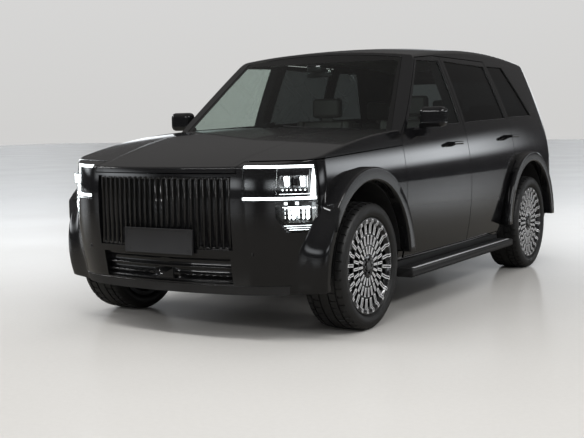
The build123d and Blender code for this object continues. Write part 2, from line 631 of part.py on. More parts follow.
# Body sides: pillars, roof rails, rear quarters and sills
PILLAR_HALF = 60.0
PILLAR_GAP = 8.0
PILLAR_DEEP = 40.0
SILL_FRONT = 594.0
SILL_REAR = 2480.0
SILL_DEEP = 90.0
SILL_WALL_Z = 470.0
between_doors = [(DOOR_MID - 20, DOOR_BOTTOM_Z - PANEL_GAP), (DOOR_MID + 20, DOOR_BOTTOM_Z - PANEL_GAP),
                 (DOOR_MID + 20, DOOR_TOP_Z + PANEL_GAP), (DOOR_MID - 20, DOOR_TOP_Z + PANEL_GAP)]
door_holes = outline(FRONT_DOOR, PANEL_GAP) + outline(REAR_DOOR, PANEL_GAP) + outline(between_doors)
door_holes -= rod_x(ARCH_R + ARCH_BAND, 400, FAR + 60, Y_RA, WHEEL_Z)
lower_front = box(-FAR, FAR, Y_FA, DOOR_FRONT_Y + HALF_GAP, 200, 1130)
lower_front += box(-FAR, FAR, Y_FA, DOOR_FRONT_Y + HALF_GAP, 1130, 1300) - behind_hood(HALF_GAP)
sides = cabin_shell - lower_front - screen_hole - tailgate_hole
sides -= box(-ROOF_SEAM_X - 2, ROOF_SEAM_X + 2, ROOF_FRONT_Y, TAILGATE_SEAM_Y - HALF_GAP, ROOF_LOW_Z, ABOVE_Z)
sides -= box(-FAR, FAR, REAR_BUMPER_FRONT_Y, BEHIND_Y, BELOW_Z, REAR_BUMPER_TOP_Z + PANEL_GAP)
sides &= box(0, FAR, Y_FRONT, BEHIND_Y, 0, ABOVE_Z)
sides -= door_holes
sides -= outline(QUARTER_WINDOW)
sides -= tail_lamp_zone(0)
sides -= rod_x(ARCH_R, 560, FAR, Y_RA, WHEEL_Z)
low_gap, high_gap = DOOR_THICK + PILLAR_GAP, FRAME_THICK + PILLAR_GAP
pillar_low = band("side", low_gap, low_gap + PILLAR_DEEP, SILL_Z, 1236)
pillar_high = band("side", high_gap, high_gap + PILLAR_DEEP, 1242, 1775)
pillar_web = band("side", high_gap, low_gap + PILLAR_DEEP, 1242, 1275)
pillar_low += band("side", low_gap, low_gap + PILLAR_DEEP, 1230, 1260)
pillar = pillar_low + pillar_high + pillar_web
pillar &= outline([(DOOR_MID - PILLAR_HALF, SILL_Z), (DOOR_MID - PILLAR_HALF, 1775),
                   (DOOR_MID + PILLAR_HALF, 1775), (DOOR_MID + PILLAR_HALF, SILL_Z)])
sill = band("side", PILLAR_GAP, DOOR_THICK + SILL_DEEP, SILL_Z, DOOR_BOTTOM_Z - PANEL_GAP)
sill += band("side", low_gap, DOOR_THICK + SILL_DEEP, SILL_Z, SILL_WALL_Z)
sill &= outline([(SILL_FRONT, SILL_Z), (SILL_FRONT, SILL_WALL_Z), (SILL_REAR, SILL_WALL_Z),
                 (SILL_REAR, SILL_Z)])
sill -= rear_arch
# Pads under the sills for a jack or a lift arm: middle of each, back from the front axle
JACK_Y = (700.0, 2360.0)
JACK_X = 840.0
JACK_HALF = 40.0
JACK_DEEP = 14.0
for jack_y in JACK_Y:
    sill += box(JACK_X - JACK_HALF, JACK_X + JACK_HALF, Y_FA + jack_y - JACK_HALF,
                Y_FA + jack_y + JACK_HALF, SILL_Z - JACK_DEEP, SILL_Z + JACK_DEEP)
sides += pillar + sill

# Flares: a band round each arch, seated on the body surface. The front ones end at the bumper.
FLARE_FOOT_Z = 420.0
FLARE_EDGE_R = 14.0
FLARE_END_Y = Y_FA - 455.0


def flare(axle_y):
    ring = rod_x(ARCH_R + ARCH_BAND, 860, FLARE_X, axle_y, WHEEL_Z)
    ring -= rod_x(ARCH_R, 500, FAR, axle_y, WHEEL_Z)
    ring &= box(0, FAR, Y_FRONT, Y_REAR, FLARE_FOOT_Z, 1200)
    outer = [e for e in ring.edges() if abs(e.center().X - FLARE_X) < 1 and e.geom_type == GeomType.CIRCLE]
    ring = fillet(outer, FLARE_EDGE_R)
    ring -= turned("side", filled_face(-SEAT_GAP, 500, 300, 1120, SIDE_R))
    return ring - turned("corner", filled_face(-SEAT_GAP, CORNER_R - 5, 300, 1120, CORNER_R))


flares = [flare(Y_FA) - box(0, FAR, Y_FRONT, FLARE_END_Y, 0, 1200), flare(Y_RA)]

# Wheel liners: thin half drums that seat in the arch openings
LINER_IN_X = 560.0
LINER_OUT_X = 950.0
FRONT_LINER_IN_X = 708.0


def liner(axle_y, inner_x, inner_wall):
    outer_r = ARCH_R - SEAT_GAP
    drum = rod_x(outer_r, inner_x, LINER_OUT_X, axle_y, WHEEL_Z)
    drum -= rod_x(outer_r - LINER_THICK, inner_x + inner_wall, FAR, axle_y, WHEEL_Z)
    return drum & box(0, FAR, Y_FRONT + 100, Y_REAR, WHEEL_Z + 40, 1200)


liners = [liner(Y_FA, FRONT_LINER_IN_X, -10.0), liner(Y_RA, LINER_IN_X, LINER_THICK)]

# Side steps on brackets under the sills
STEP_IN_X = 905.0
STEP_OUT_X = 1030.0
STEP_LOW_Z = 246.0
STEP_HIGH_Z = 304.0
STEP_FRONT_Y = Y_FA + 545.0
STEP_REAR_Y = Y_FA + SILL_REAR
STEP_EDGE_R = 16.0
BRACKET_IN_X = 800.0
BRACKET_OUT_X = 840.0
BRACKET_WIDE = 60.0
BRACKET_LOW_Z = 262.0
BRACKET_TOP_Z = 288.0
step = box(STEP_IN_X, STEP_OUT_X, STEP_FRONT_Y, STEP_REAR_Y, STEP_LOW_Z, STEP_HIGH_Z)
step = fillet([e for e in step.edges() if abs(e.tangent_at(0.5).Y) > 0.9], STEP_EDGE_R)
for offset_y in (250.0, 960.0, 1680.0):
    front_y = STEP_FRONT_Y + offset_y
    step += box(BRACKET_IN_X, STEP_IN_X + 20, front_y, front_y + BRACKET_WIDE, BRACKET_LOW_Z, BRACKET_TOP_Z)
    step += box(BRACKET_IN_X, BRACKET_OUT_X, front_y, front_y + BRACKET_WIDE, BRACKET_LOW_Z,
                SILL_Z - SEAT_GAP)

# Tyres: an open carcass turned about the axle
# Columns: distance out from the wheel's middle plane, radius
half_tyre = TYRE_W / 2
TYRE_OUT = [(113.6, BEAD_R + 0.3), (113.6, 297), (124, 303), (half_tyre, 335), (133, 368),
            (118, 386), (60, TYRE_D / 2)]
TYRE_IN = [(112, 374), (124, 338), (100, 300), (78, 294), (78, BEAD_R + 0.3)]


def ring_about_axle(points, x, y, side):
    """Turn an (out, radius) outline about the axle line at y, the out side facing side."""
    face = make_face(Polyline(*[(out, radius) for out, radius in points], close=True))
    plane = Plane(origin=(x, y, WHEEL_Z), x_dir=(side, 0, 0), z_dir=(0, -side, 0))
    return revolve(plane * face, Axis((x, y, WHEEL_Z), (1, 0, 0)), 360)


tyre_outline = (TYRE_OUT + [(-out, r) for out, r in reversed(TYRE_OUT)]
                + [(-out, r) for out, r in reversed(TYRE_IN)] + TYRE_IN)

# Wheel rims: barrel, hub with the brake disc, and a face with three rows of windows
RIM_BARREL = [(-122, 295), (-114, 295), (-114, 280), (-70, 278), (-50, 252), (30, 252),
              (60, 278), (114, 280), (114, 295), (122, 295), (122, 270), (100, 266), (48, 264),
              (26, 242), (-54, 242), (-76, 267), (-122, 270)]
FACE_OUT = 108.0
FACE_THICK = 16.0
HUB_R = 62.0
# Columns: inner and outer radius of a row of windows, how many, share of a pitch turned
WINDOW_ROWS = ((72.0, 118.0, 18, 0.0), (130.0, 186.0, 24, 0.5), (198.0, 256.0, 24, 0.0))
SPOKE_W = 17.0


def spin_about_axle(shape, y, angle):
    return shape.rotate(Axis((0, y, WHEEL_Z), (1, 0, 0)), angle)


def tyre(side, y):
    return ring_about_axle(tyre_outline, side * TYRE_X, y, side)


def rim(side, y):
    centre_x = side * TYRE_X
    barrel = ring_about_axle(RIM_BARREL, centre_x, y, side)
    face = ring_about_axle([(FACE_OUT - FACE_THICK, 0), (FACE_OUT, 0), (FACE_OUT, 268),
                            (FACE_OUT - FACE_THICK, 268)], centre_x, y, side)
    cuts = []
    for inner, outer, count, shift in WINDOW_ROWS:
        wide_in = math.pi * inner / count - SPOKE_W / 2
        wide_out = math.pi * outer / count - SPOKE_W / 2
        low, high = centre_x + side * (FACE_OUT - FACE_THICK - 4), centre_x + side * (FACE_OUT + 4)
        points = [(y - wide_in, WHEEL_Z + inner), (y + wide_in, WHEEL_Z + inner),
                  (y + wide_out, WHEEL_Z + outer), (y - wide_out, WHEEL_Z + outer)]
        window = side_prism(points, min(low, high), max(low, high))
        cuts += [spin_about_axle(window, y, (index + shift) * 360 / count)
                 for index in range(count)]
    face = face.cut(*[solid for cut in cuts for solid in cut.solids()])
    hub_in = DISC_X - DISC_THICK / 2
    hub = rod_x(HUB_R, side * (hub_in + DISC_THICK), centre_x + side * FACE_OUT, y, WHEEL_Z)
    disc = rod_x(DISC_R, side * hub_in, side * (hub_in + DISC_THICK), y, WHEEL_Z)
    disc -= rod_x(HUB_R + 24, side * (hub_in - 1), side * (hub_in + DISC_THICK - 10), y, WHEEL_Z)
    bore = rod_x(HUB_BORE_R, side * (hub_in - 1), side * (TYRE_X + 10), y, WHEEL_Z)
    return barrel + face + hub + disc - bore


# Front uprights: a column on the steering axis, the wheel's spindle and the brake caliper
UPRIGHT_LOW_Z = WHEEL_Z - 150.0
UPRIGHT_HIGH_Z = WHEEL_Z + 165.0
CALIPER_GAP = 2.0


def spindle_and_caliper(y, root_x):
    shape = rod_x(66, root_x, DISC_X - DISC_THICK / 2 - 8, y, WHEEL_Z)
    shape += rod_x(HUB_BORE_R - SEAT_GAP, root_x, TYRE_X, y, WHEEL_Z)
    caliper = rod_x(DISC_R + 32, DISC_X - 44, DISC_X + 44, y, WHEEL_Z)
    caliper -= rod_x(DISC_R - 62, DISC_X - 60, DISC_X + 60, y, WHEEL_Z)
    slot = rod_x(DISC_R + CALIPER_GAP + 3, DISC_X - DISC_THICK / 2 - CALIPER_GAP,
                 DISC_X + DISC_THICK / 2 + CALIPER_GAP, y, WHEEL_Z)
    caliper = (caliper - slot) & box(0, FAR, y + 60, y + 300, WHEEL_Z - 92, WHEEL_Z + 92)
    bracket = box(root_x, DISC_X - 36, y + 20, y + 150, WHEEL_Z - 22, WHEEL_Z + 22)
    return shape + caliper + bracket


upright = box(KINGPIN_X - 20, KINGPIN_X + 20, Y_FA - 42, Y_FA + 42, UPRIGHT_LOW_Z, UPRIGHT_HIGH_Z)
upright += box(630, KINGPIN_X, Y_FA - 26, Y_FA + 26, UPRIGHT_HIGH_Z - 24, UPRIGHT_HIGH_Z)
upright += box(700, KINGPIN_X, Y_FA - 140, Y_FA - 30, WHEEL_Z - 90, WHEEL_Z - 64)
upright += spindle_and_caliper(Y_FA, KINGPIN_X)

# Frame rails with cross members, the front and rear bumper beams, tank and exhaust
RAIL_X = 350.0
RAIL_W = 70.0
RAIL_LOW_Z = 270.0
FLOOR_Z = 352.0
FLOOR_THICK = 14.0
RAIL_TOP_Z = FLOOR_Z - SEAT_GAP
RAIL_FRONT_Y = Y_FRONT + 195.0
RAIL_REAR_Y = Y_REAR - 160.0
BEAM_DEEP = 75.0
BEAM_GAP = 0.5
BEAM_HALF = 600.0
FRONT_BEAM_LOW_Z = 508.0
FRONT_BEAM_TOP_Z = 542.0
REAR_BEAM_LOW_Z = 440.0
REAR_BEAM_TOP_Z = 560.0
HORN_LAP = 40.0


def beam(arc, low, high):
    half_beam = band(arc, SKIN + BEAM_GAP, SKIN + BEAM_DEEP, low, high)
    return (half_beam + flip(half_beam)) & box(-BEAM_HALF, BEAM_HALF, Y_FRONT, Y_REAR, low, high)


rail_x = (RAIL_X - RAIL_W / 2, RAIL_X + RAIL_W / 2)
rail = box(*rail_x, RAIL_FRONT_Y, RAIL_REAR_Y, RAIL_LOW_Z, RAIL_TOP_Z)
horn = box(*rail_x, Y_FRONT + 170, RAIL_FRONT_Y + HORN_LAP, RAIL_LOW_Z, FRONT_BEAM_TOP_Z)
tail_horn = box(*rail_x, RAIL_REAR_Y - HORN_LAP, Y_REAR - 140, RAIL_LOW_Z, REAR_BEAM_TOP_Z)
front_beam = beam("nose", FRONT_BEAM_LOW_Z, FRONT_BEAM_TOP_Z)
rear_beam = beam("tail", REAR_BEAM_LOW_Z, REAR_BEAM_TOP_Z)
underbody = rail + flip(rail) + horn + flip(horn) + tail_horn + flip(tail_horn)
underbody = underbody + front_beam + rear_beam
# Middle of each cross member, back from the front axle
for member_y in (-560.0, 500.0, 1300.0, 2150.0, 3700.0):
    underbody += box(-RAIL_X, RAIL_X, Y_FA + member_y - 30, Y_FA + member_y + 30, RAIL_LOW_Z + 20,
                     RAIL_TOP_Z - 10)
ENGINE_LOW_Z = 360.0
for member_y in (-250.0, 120.0):
    underbody += box(-RAIL_X, RAIL_X, Y_FA + member_y - 25, Y_FA + member_y + 25, RAIL_LOW_Z + 20,
                     ENGINE_LOW_Z - SEAT_GAP)
ENGINE_HALF = 270.0
ENGINE_TOP_Z = 930.0
engine = box(-ENGINE_HALF, ENGINE_HALF, Y_FA - 520, Y_FA + 380, ENGINE_LOW_Z, ENGINE_TOP_Z)
tank = box(-290, 120, Y_FA + 2160, Y_FA + 2660, RAIL_LOW_Z - 10, RAIL_TOP_Z - 12)
muffler = box(-290, 290, Y_FA + 3340, Y_FA + 3680, RAIL_LOW_Z + 10, RAIL_TOP_Z - 12)
underbody += fillet([e for e in tank.edges() if abs(e.tangent_at(0.5).X) > 0.9], 20)
underbody += fillet([e for e in muffler.edges() if abs(e.tangent_at(0.5).X) > 0.9], 25)
PIPE_X = 200.0
PIPE_R = 28.0
PIPE_LENGTH = 3260.0
underbody += Pos(PIPE_X, Y_FA + 1760, RAIL_LOW_Z + 42) * Rot(90, 0, 0) * Cylinder(PIPE_R, PIPE_LENGTH)

# Suspension: subframes under the rails, lower arms, struts, and the rear uprights
ARM_TOP_Z = UPRIGHT_LOW_Z - SEAT_GAP
ARM_LOW_Z = ARM_TOP_Z - 24.0
STRUT_X = 648.0
STRUT_R = 32.0
TOWER_Z = 915.0
RACK_Y = Y_FA - 200.0


def suspension(axle_y, steered):
    frame_part = box(-390, 390, axle_y - 60, axle_y + 60, ARM_LOW_Z, RAIL_LOW_Z - SEAT_GAP)
    arm = plan_prism([(380, axle_y - 60), (740, axle_y - 34), (766, axle_y), (740, axle_y + 34),
                      (380, axle_y + 60)], ARM_LOW_Z, ARM_TOP_Z)
    if not steered:
        column = box(KINGPIN_X - 20, KINGPIN_X + 20, axle_y - 42, axle_y + 42, ARM_LOW_Z + 2,
                     UPRIGHT_HIGH_Z)
        column += spindle_and_caliper(axle_y, KINGPIN_X)
        column += box(STRUT_X - STRUT_R, KINGPIN_X, axle_y - 26, axle_y + 26, UPRIGHT_HIGH_Z - 24,
                      UPRIGHT_HIGH_Z)
        column += Pos(STRUT_X, axle_y, (UPRIGHT_HIGH_Z + TOWER_Z) / 2 - 6) * Cylinder(
            STRUT_R, TOWER_Z - UPRIGHT_HIGH_Z + 10)
        arm += column
    return frame_part + arm + flip(arm)


def strut(axle_y):
    low = UPRIGHT_HIGH_Z + SEAT_GAP
    body = Pos(STRUT_X, axle_y, (low + TOWER_Z - SEAT_GAP) / 2) * Cylinder(STRUT_R, TOWER_Z - SEAT_GAP - low)
    return body + Pos(STRUT_X, axle_y, low + 90) * Cylinder(46, 8)


rack = rod_x(26, -300, 300, RACK_Y, RAIL_LOW_Z - 26 - SEAT_GAP)
rack += box(-300, 300, RACK_Y, Y_FA - 40, ARM_LOW_Z + 4, ARM_LOW_Z + 20)
front_suspension = suspension(Y_FA, True) + rack
rear_suspension = suspension(Y_RA, False) & box(-FAR, FAR, Y_FRONT, Y_REAR, 0, TOWER_Z - 60)

# Floor, firewall, strut towers and the brackets that carry the wings and the hood
FIREWALL_Y = Y_FA + 600.0
FIREWALL_THICK = 20.0
FIREWALL_TOP_Z = 1095.0
FLOOR_REAR_Y = Y_REAR - 190.0
INNER = DOOR_THICK + 12.0
MIDDLE = HALF_WIDTH + 70.0
inner_half = turned("side", filled_face(INNER, MIDDLE, FLOOR_Z, 1240, SIDE_R))
sill_half = turned("side", filled_face(DOOR_THICK + SILL_DEEP + SEAT_GAP, MIDDLE, FLOOR_Z - 10, 1240, SIDE_R))
wing_half = turned("side", filled_face(SKIN + SEAT_GAP, 700, FLOOR_Z, 1240, SIDE_R))
half_floor = sill_half & box(-10, FAR, FIREWALL_Y, FLOOR_REAR_Y, FLOOR_Z, FLOOR_Z + FLOOR_THICK)
half_floor -= rod_x(ARCH_R + 2, LINER_IN_X - 2, FAR, Y_RA, WHEEL_Z)
half_wall = inner_half & box(-10, FAR, FIREWALL_Y, FIREWALL_Y + FIREWALL_THICK, FLOOR_Z, FIREWALL_TOP_Z)
half_wall = half_wall - box(700, FAR, FIREWALL_Y - 1, FIREWALL_Y + 100, 0, 480)
APRON_IN_X = 470.0
APRON_OUT_X = 530.0
APRON_LOW_Z = 840.0
TOWER_THICK = 20.0
TOWER_HALF = 90.0
apron_top_z = TOWER_Z + TOWER_THICK
apron = box(APRON_IN_X, APRON_OUT_X, Y_FA - 600, FIREWALL_Y + 10, APRON_LOW_Z, apron_top_z)
apron += box(APRON_OUT_X - 10, 705, Y_FA - TOWER_HALF, Y_FA + TOWER_HALF, TOWER_Z, apron_top_z)
# Columns: front and rear of each bracket that carries a wing, back from the front axle
for bracket_front, bracket_rear in ((300.0, 360.0), (-420.0, -380.0)):
    apron += wing_half & box(APRON_OUT_X - 10, FAR, Y_FA + bracket_front, Y_FA + bracket_rear,
                             TOWER_Z, apron_top_z)
HOOD_HINGE_X = (640.0, 700.0)
HOOD_HINGE_LOW_Z = 1060.0
hood_under = nose_form(SKIN + SEAT_GAP, BUMPER_BOTTOM_Z, ROOF_WALL + SEAT_GAP)
hinge_block = box(*HOOD_HINGE_X, HOOD_REAR_Y - 20, HOOD_REAR_Y + 40, HOOD_HINGE_LOW_Z, 1300) & hood_under
hinge_block += box(*HOOD_HINGE_X, HOOD_REAR_Y - 20, FIREWALL_Y + 5, HOOD_HINGE_LOW_Z, FIREWALL_TOP_Z - 5)
half_pan = half_floor + half_wall + apron + hinge_block
floor_pan = half_pan + flip(half_pan)

# Cowl tray behind the hood, carrying the foot of the windshield and two wipers
screen_rail = (screen_side(2 + GLASS_THICK + SEAT_GAP) - screen_side(2 + GLASS_THICK + 16))
screen_rail &= box(-790, 790, Y_FA + 350, Y_FA + 800, 1096, 1196)
cowl = screen_rail + box(-790, 790, Y_FA + 400, FIREWALL_Y + 15, FIREWALL_TOP_Z + SEAT_GAP,
                         FIREWALL_TOP_Z + 12)
for side in (-1, 1):
    cowl -= Pos(side * 670, HOOD_REAR_Y + 10, 1150) * Box(61, 61, 400)

# Seats on their runners, the dashboard with its console, and the steering wheel
SEAT_W = 500.0
SEAT_X = 385.0


def seat(mid_x, wide, front_y, cushion_z, back_top_z):
    cushion = box(mid_x - wide / 2, mid_x + wide / 2, front_y, front_y + 500, cushion_z - 130, cushion_z)
    cushion = fillet(cushion.edges(), 35)
    back_foot, lean = front_y + 440, 130.0
    back = side_prism([(back_foot, cushion_z - 60), (back_foot + 130, cushion_z - 60),
                       (back_foot + 130 + lean, back_top_z), (back_foot + 20 + lean, back_top_z)],
                      mid_x - wide / 2, mid_x + wide / 2)
    back = fillet(back.edges(), 30)
    return cushion + back


def head_rest(mid_x, front_y, back_top_z):
    rest_y = front_y + 440 + 60 + 130.0
    rest = box(mid_x - 130, mid_x + 130, rest_y - 40, rest_y + 45, back_top_z + 25, back_top_z + 185)
    rest = fillet(rest.edges(), 30)
    return rest + box(mid_x - 50, mid_x + 50, rest_y - 8, rest_y + 8, back_top_z - 20, back_top_z + 60)


def feet(mid_x, wide, front_y, cushion_z):
    base = FLOOR_Z + FLOOR_THICK + SEAT_GAP
    runner = box(-wide / 2 + 30, -wide / 2 + 70, front_y + 60, front_y + 440, base, cushion_z - 110)
    return Pos(mid_x, 0, 0) * (runner + flip(runner))


# Columns: middle x, width, front y back from the front axle, cushion z, top of the back z
FRONT_SEATS = ((SEAT_X, SEAT_W, 1330.0, 690.0, 1280.0),)
REAR_SEATS = ((0.0, 1090.0, 2200.0, 700.0, 1260.0), (0.0, 1020.0, 3060.0, 720.0, 1220.0))


def seat_row(rows, rests):
    pieces = []
    for mid_x, wide, back_from_axle, cushion_z, back_top_z in rows:
        front_y = Y_FA + back_from_axle
        one = seat(mid_x, wide, front_y, cushion_z, back_top_z) + feet(mid_x, wide, front_y, cushion_z)
        for rest_x in rests:
            one += head_rest(mid_x + rest_x, front_y, back_top_z)
        pieces.append(one)
    return pieces


front_seats = seat_row(FRONT_SEATS, (0.0,))
front_seats += [flip(seat) for seat in front_seats]
rear_seats = seat_row(REAR_SEATS, (-320.0, 320.0))

# Outline of the dashboard as (y, z), y measured back from the front axle, from the firewall on
dash_front = FIREWALL_Y + FIREWALL_THICK - Y_FA + SEAT_GAP
DASH = [(dash_front, 1088), (700, 1118), (950, 1108), (1025, 1060), (1005, 900), (900, 770),
        (dash_front, 770)]
dash_half = turned("side", filled_face(INNER + 50, MIDDLE, 700, 1240, SIDE_R))
dash = side_prism([(Y_FA + y, z) for y, z in DASH], 0, FAR) & dash_half
dash = dash + flip(dash)
dash += box(-130, 130, Y_FA + 800, Y_FA + 1900, FLOOR_Z + FLOOR_THICK + SEAT_GAP, 720)
WHEEL_TILT = 25.0
WHEEL_Y = Y_FA + 1190.0
WHEEL_AXIS_Z = 1015.0
STEERING_R = 182.0


def on_column(shape):
    return Pos(SEAT_X, WHEEL_Y, WHEEL_AXIS_Z) * Rot(WHEEL_TILT - 90, 0, 0) * shape


shroud = on_column(Pos(0, 0, -150) * Cylinder(38, 180))
dash += shroud
steering_wheel = on_column(Torus(STEERING_R, 15) + Pos(0, 0, -18) * Cylinder(62, 36)
                           + Pos(0, 0, -(60 - SEAT_GAP) / 2) * Cylinder(24, 60 - SEAT_GAP)
                           + Pos(0, 0, -6) * Box(2 * STEERING_R, 34, 12)
                           + Pos(0, STEERING_R / 2, -6) * Box(34, STEERING_R, 12))

# Mirrors and handles, on the doors
MIRROR_OUT_X = 1133.0
MIRROR_WIDE = 178.0
MIRROR_FRONT_Y = Y_FA + 800.0
MIRROR_DEEP = 105.0
MIRROR_LOW_Z = 1222.0
MIRROR_TOP_Z = 1360.0
MIRROR_EDGE_R = 36.0
FOOT_Y = (Y_FA + 836.0, Y_FA + 890.0)
mirror_head = box(MIRROR_OUT_X - MIRROR_WIDE, MIRROR_OUT_X, MIRROR_FRONT_Y, MIRROR_FRONT_Y + MIRROR_DEEP,
                  MIRROR_LOW_Z, MIRROR_TOP_Z)
mirror_head = fillet(mirror_head.edges(), MIRROR_EDGE_R)
mirror_foot = box(900, 985, *FOOT_Y, 1166, 1208)
mirror_foot += box(946, 1000, *FOOT_Y, 1180, MIRROR_LOW_Z + 23)
door_front += mirror_head + mirror_foot


# Handles: half length, half height, outer x, thickness of the grip, and half length of its opening
HANDLE_HALF = 85.0
HANDLE_HIGH = 11.0
HANDLE_X = 1008.0
HANDLE_THICK = 16.0
HANDLE_OPEN = 55.0


def handle(middle_y, middle_z):
    grip = box(915, HANDLE_X, middle_y - HANDLE_HALF, middle_y + HANDLE_HALF, middle_z - HANDLE_HIGH,
               middle_z + HANDLE_HIGH)
    grip = fillet([e for e in grip.edges() if e.center().X > HANDLE_X - 8], 9)
    return grip - box(910, HANDLE_X - HANDLE_THICK, middle_y - HANDLE_OPEN, middle_y + HANDLE_OPEN,
                      middle_z - 2 * HANDLE_HIGH, middle_z + 2 * HANDLE_HIGH)


door_front += handle(Y_FA + 1400, 1104)
door_rear += handle(Y_FA + 2620, 1131)

# Hinge pillars and the pads that the shut doors rest on
PAD_HIGH = 60.0
hinge_pillar = band("side", low_gap, INNER - SEAT_GAP + PILLAR_DEEP, SILL_Z, 1190)
hinge_pillar &= outline([(596, SILL_Z), (596, 1150), (700, 1190), (700, SILL_Z)])
hinge_pillar -= rod_x(ARCH_R + 2, 500, FAR, Y_FA, WHEEL_Z)
hinge_pillar -= box(0, FAR, FIREWALL_Y - 5, FIREWALL_Y + FIREWALL_THICK + SEAT_GAP, 0, 1300) \
    & turned("side", filled_face(INNER - SEAT_GAP, 400, 300, 1240, SIDE_R))
sides += hinge_pillar
for front_y, rear_y in ((DOOR_FRONT + 12, DOOR_FRONT + 62), (DOOR_MID + 8, DOOR_MID + 52)):
    for low in (620, 960):
        pad = band("side", DOOR_THICK + SEAT_GAP, INNER, low, low + PAD_HIGH)
        sides += pad & outline([(front_y, low), (front_y, low + PAD_HIGH), (rear_y, low + PAD_HIGH),
                                (rear_y, low)])

save("body_sides", pair(sides))
save("roof_panel", roof_panel)
save("hood", hood)
save("front_fenders", front_fenders)
save("front_bumper", front_bumper)
save("rear_bumper", rear_bumper)
save("grille", Compound([*grille.solids(), *intake.solids()]))
save("plate_holder", plate_holder)
save("headlamps", pair(headlamp))
save("headlamp_lenses", pair(lens))
save("light_bars", pair(bars))
save("tail_lamps", pair(tail_lamp))
save("windshield", windshield)
save("quarter_glass", pair(quarter_glass))
save("tailgate", tailgate)
save("tailgate_glass", tailgate_glass)
save("cowl", cowl)
save("arch_flares", Compound([s for one in flares for s in pair(one).solids()]))
save("wheel_liners", Compound([s for one in liners for s in pair(one).solids()]))
save("side_steps", pair(step))
save("underbody", underbody)
save("floor_pan", floor_pan)
save("engine_block", engine)
save("front_suspension", Compound([*front_suspension.solids(), *pair(strut(Y_FA)).solids()]))
save("rear_suspension", rear_suspension)
save("front_seats", Compound([s for one in front_seats for s in one.solids()]))
save("rear_seats", Compound([s for one in rear_seats for s in one.solids()]))
save("dashboard", dash)
save("steering_wheel", steering_wheel)
for name, turn in (("l", lambda shape: shape), ("r", flip)):
    save(f"door_f{name}", turn(door_front))
    save(f"door_r{name}", turn(door_rear))
    save(f"window_f{name}", turn(window_front))
    save(f"window_r{name}", turn(window_rear))
    save(f"upright_{name}", turn(upright))
for end, axle in (("f", Y_FA), ("r", Y_RA)):
    for name, side in (("l", 1), ("r", -1)):
        save(f"tyre_{end}{name}", tyre(side, axle))
        save(f"rim_{end}{name}", rim(side, axle))
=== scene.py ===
import json
import math

import bmesh
import bpy
import numpy as np
from mathutils import Matrix, Vector

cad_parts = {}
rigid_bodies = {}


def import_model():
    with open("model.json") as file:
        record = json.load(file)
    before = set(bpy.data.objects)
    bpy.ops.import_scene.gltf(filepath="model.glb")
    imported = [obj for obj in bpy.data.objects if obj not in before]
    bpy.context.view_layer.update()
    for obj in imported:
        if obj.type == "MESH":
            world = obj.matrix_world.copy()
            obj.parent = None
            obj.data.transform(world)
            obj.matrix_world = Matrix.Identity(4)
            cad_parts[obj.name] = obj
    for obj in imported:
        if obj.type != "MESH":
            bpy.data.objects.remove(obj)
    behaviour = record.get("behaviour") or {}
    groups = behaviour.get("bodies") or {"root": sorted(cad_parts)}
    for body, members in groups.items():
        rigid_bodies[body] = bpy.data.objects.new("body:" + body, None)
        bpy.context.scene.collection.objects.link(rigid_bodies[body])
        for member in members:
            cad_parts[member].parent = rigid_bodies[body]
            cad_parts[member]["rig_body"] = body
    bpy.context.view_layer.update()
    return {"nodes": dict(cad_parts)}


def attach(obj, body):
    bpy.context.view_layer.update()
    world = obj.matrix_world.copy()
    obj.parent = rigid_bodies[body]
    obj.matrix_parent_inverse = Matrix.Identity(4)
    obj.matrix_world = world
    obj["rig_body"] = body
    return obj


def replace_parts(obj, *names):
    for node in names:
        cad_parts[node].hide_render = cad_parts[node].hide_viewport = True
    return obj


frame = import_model()
nodes = frame["nodes"]

# The car stands on a plain pale floor in a plain studio, under two long strip lamps, with one more
# lamp at each side and one ahead. The camera is low and ahead of the left front corner, as in the
# photograph, which it matches in lens, place and a slight roll.
IMAGE_W, FOCAL_PIXELS = 584, 1026.6
CAMERA_PLACE = Vector((3.7965, -7.2169, 1.2529))
YAW, PITCH, ROLL = (math.radians(a) for a in (-31.22, 5.23, -1.006))


class Wire:
    """A socket of a material. Sums on it add Math nodes, and node() adds any other node."""

    def __init__(self, tree, socket=None):
        self.tree, self.socket = tree, socket

    def node(self, kind, settings=None, inputs=None, output=0):
        made = self.tree.nodes.new(kind)
        for name, value in (settings or {}).items():
            setattr(made, name, value)
        for name, value in (inputs or {}).items():
            if isinstance(value, Wire):
                self.tree.links.new(value.socket, made.inputs[name])
            else:
                made.inputs[name].default_value = value
        return Wire(self.tree, made.outputs[output])

    def maths(self, operation, *values):
        return self.node("ShaderNodeMath", {"operation": operation}, dict(enumerate(values)))

    def __add__(self, other):
        return self.maths("ADD", self, other)

    def __sub__(self, other):
        return self.maths("SUBTRACT", self, other)

    def __mul__(self, other):
        return self.maths("MULTIPLY", self, other)

    __radd__ = __add__

    def colours(self, off, on):
        """The colour off where this value is 0, and on where it is 1."""
        off, on = (c if isinstance(c, Wire) else (*c, 1) for c in (off, on))
        return self.node("ShaderNodeMix", {"data_type": "RGBA"}, {0: self, 6: off, 7: on}, 2)

    def slope(self, low, high, first=0.0, last=1.0, easing="SMOOTHSTEP"):
        """The value first up to low, the value last from high on, and a slope between them."""
        return self.node("ShaderNodeMapRange", {"interpolation_type": easing},
                         {"Value": self, 1: low, 2: high, 3: first, 4: last})

    def noise(self, place, scale, detail=2.0):
        return self.node("ShaderNodeTexNoise", {}, {"Vector": place, "Scale": scale, "Detail": detail})

    def bump(self, height, distance):
        return self.node("ShaderNodeBump", {}, {"Height": height, "Distance": distance})

    def axes(self, place):
        """The x, y and z of a place as three wires."""
        split = self.node("ShaderNodeSeparateXYZ", {}, {"Vector": place})
        return [Wire(self.tree, socket) for socket in split.socket.node.outputs]


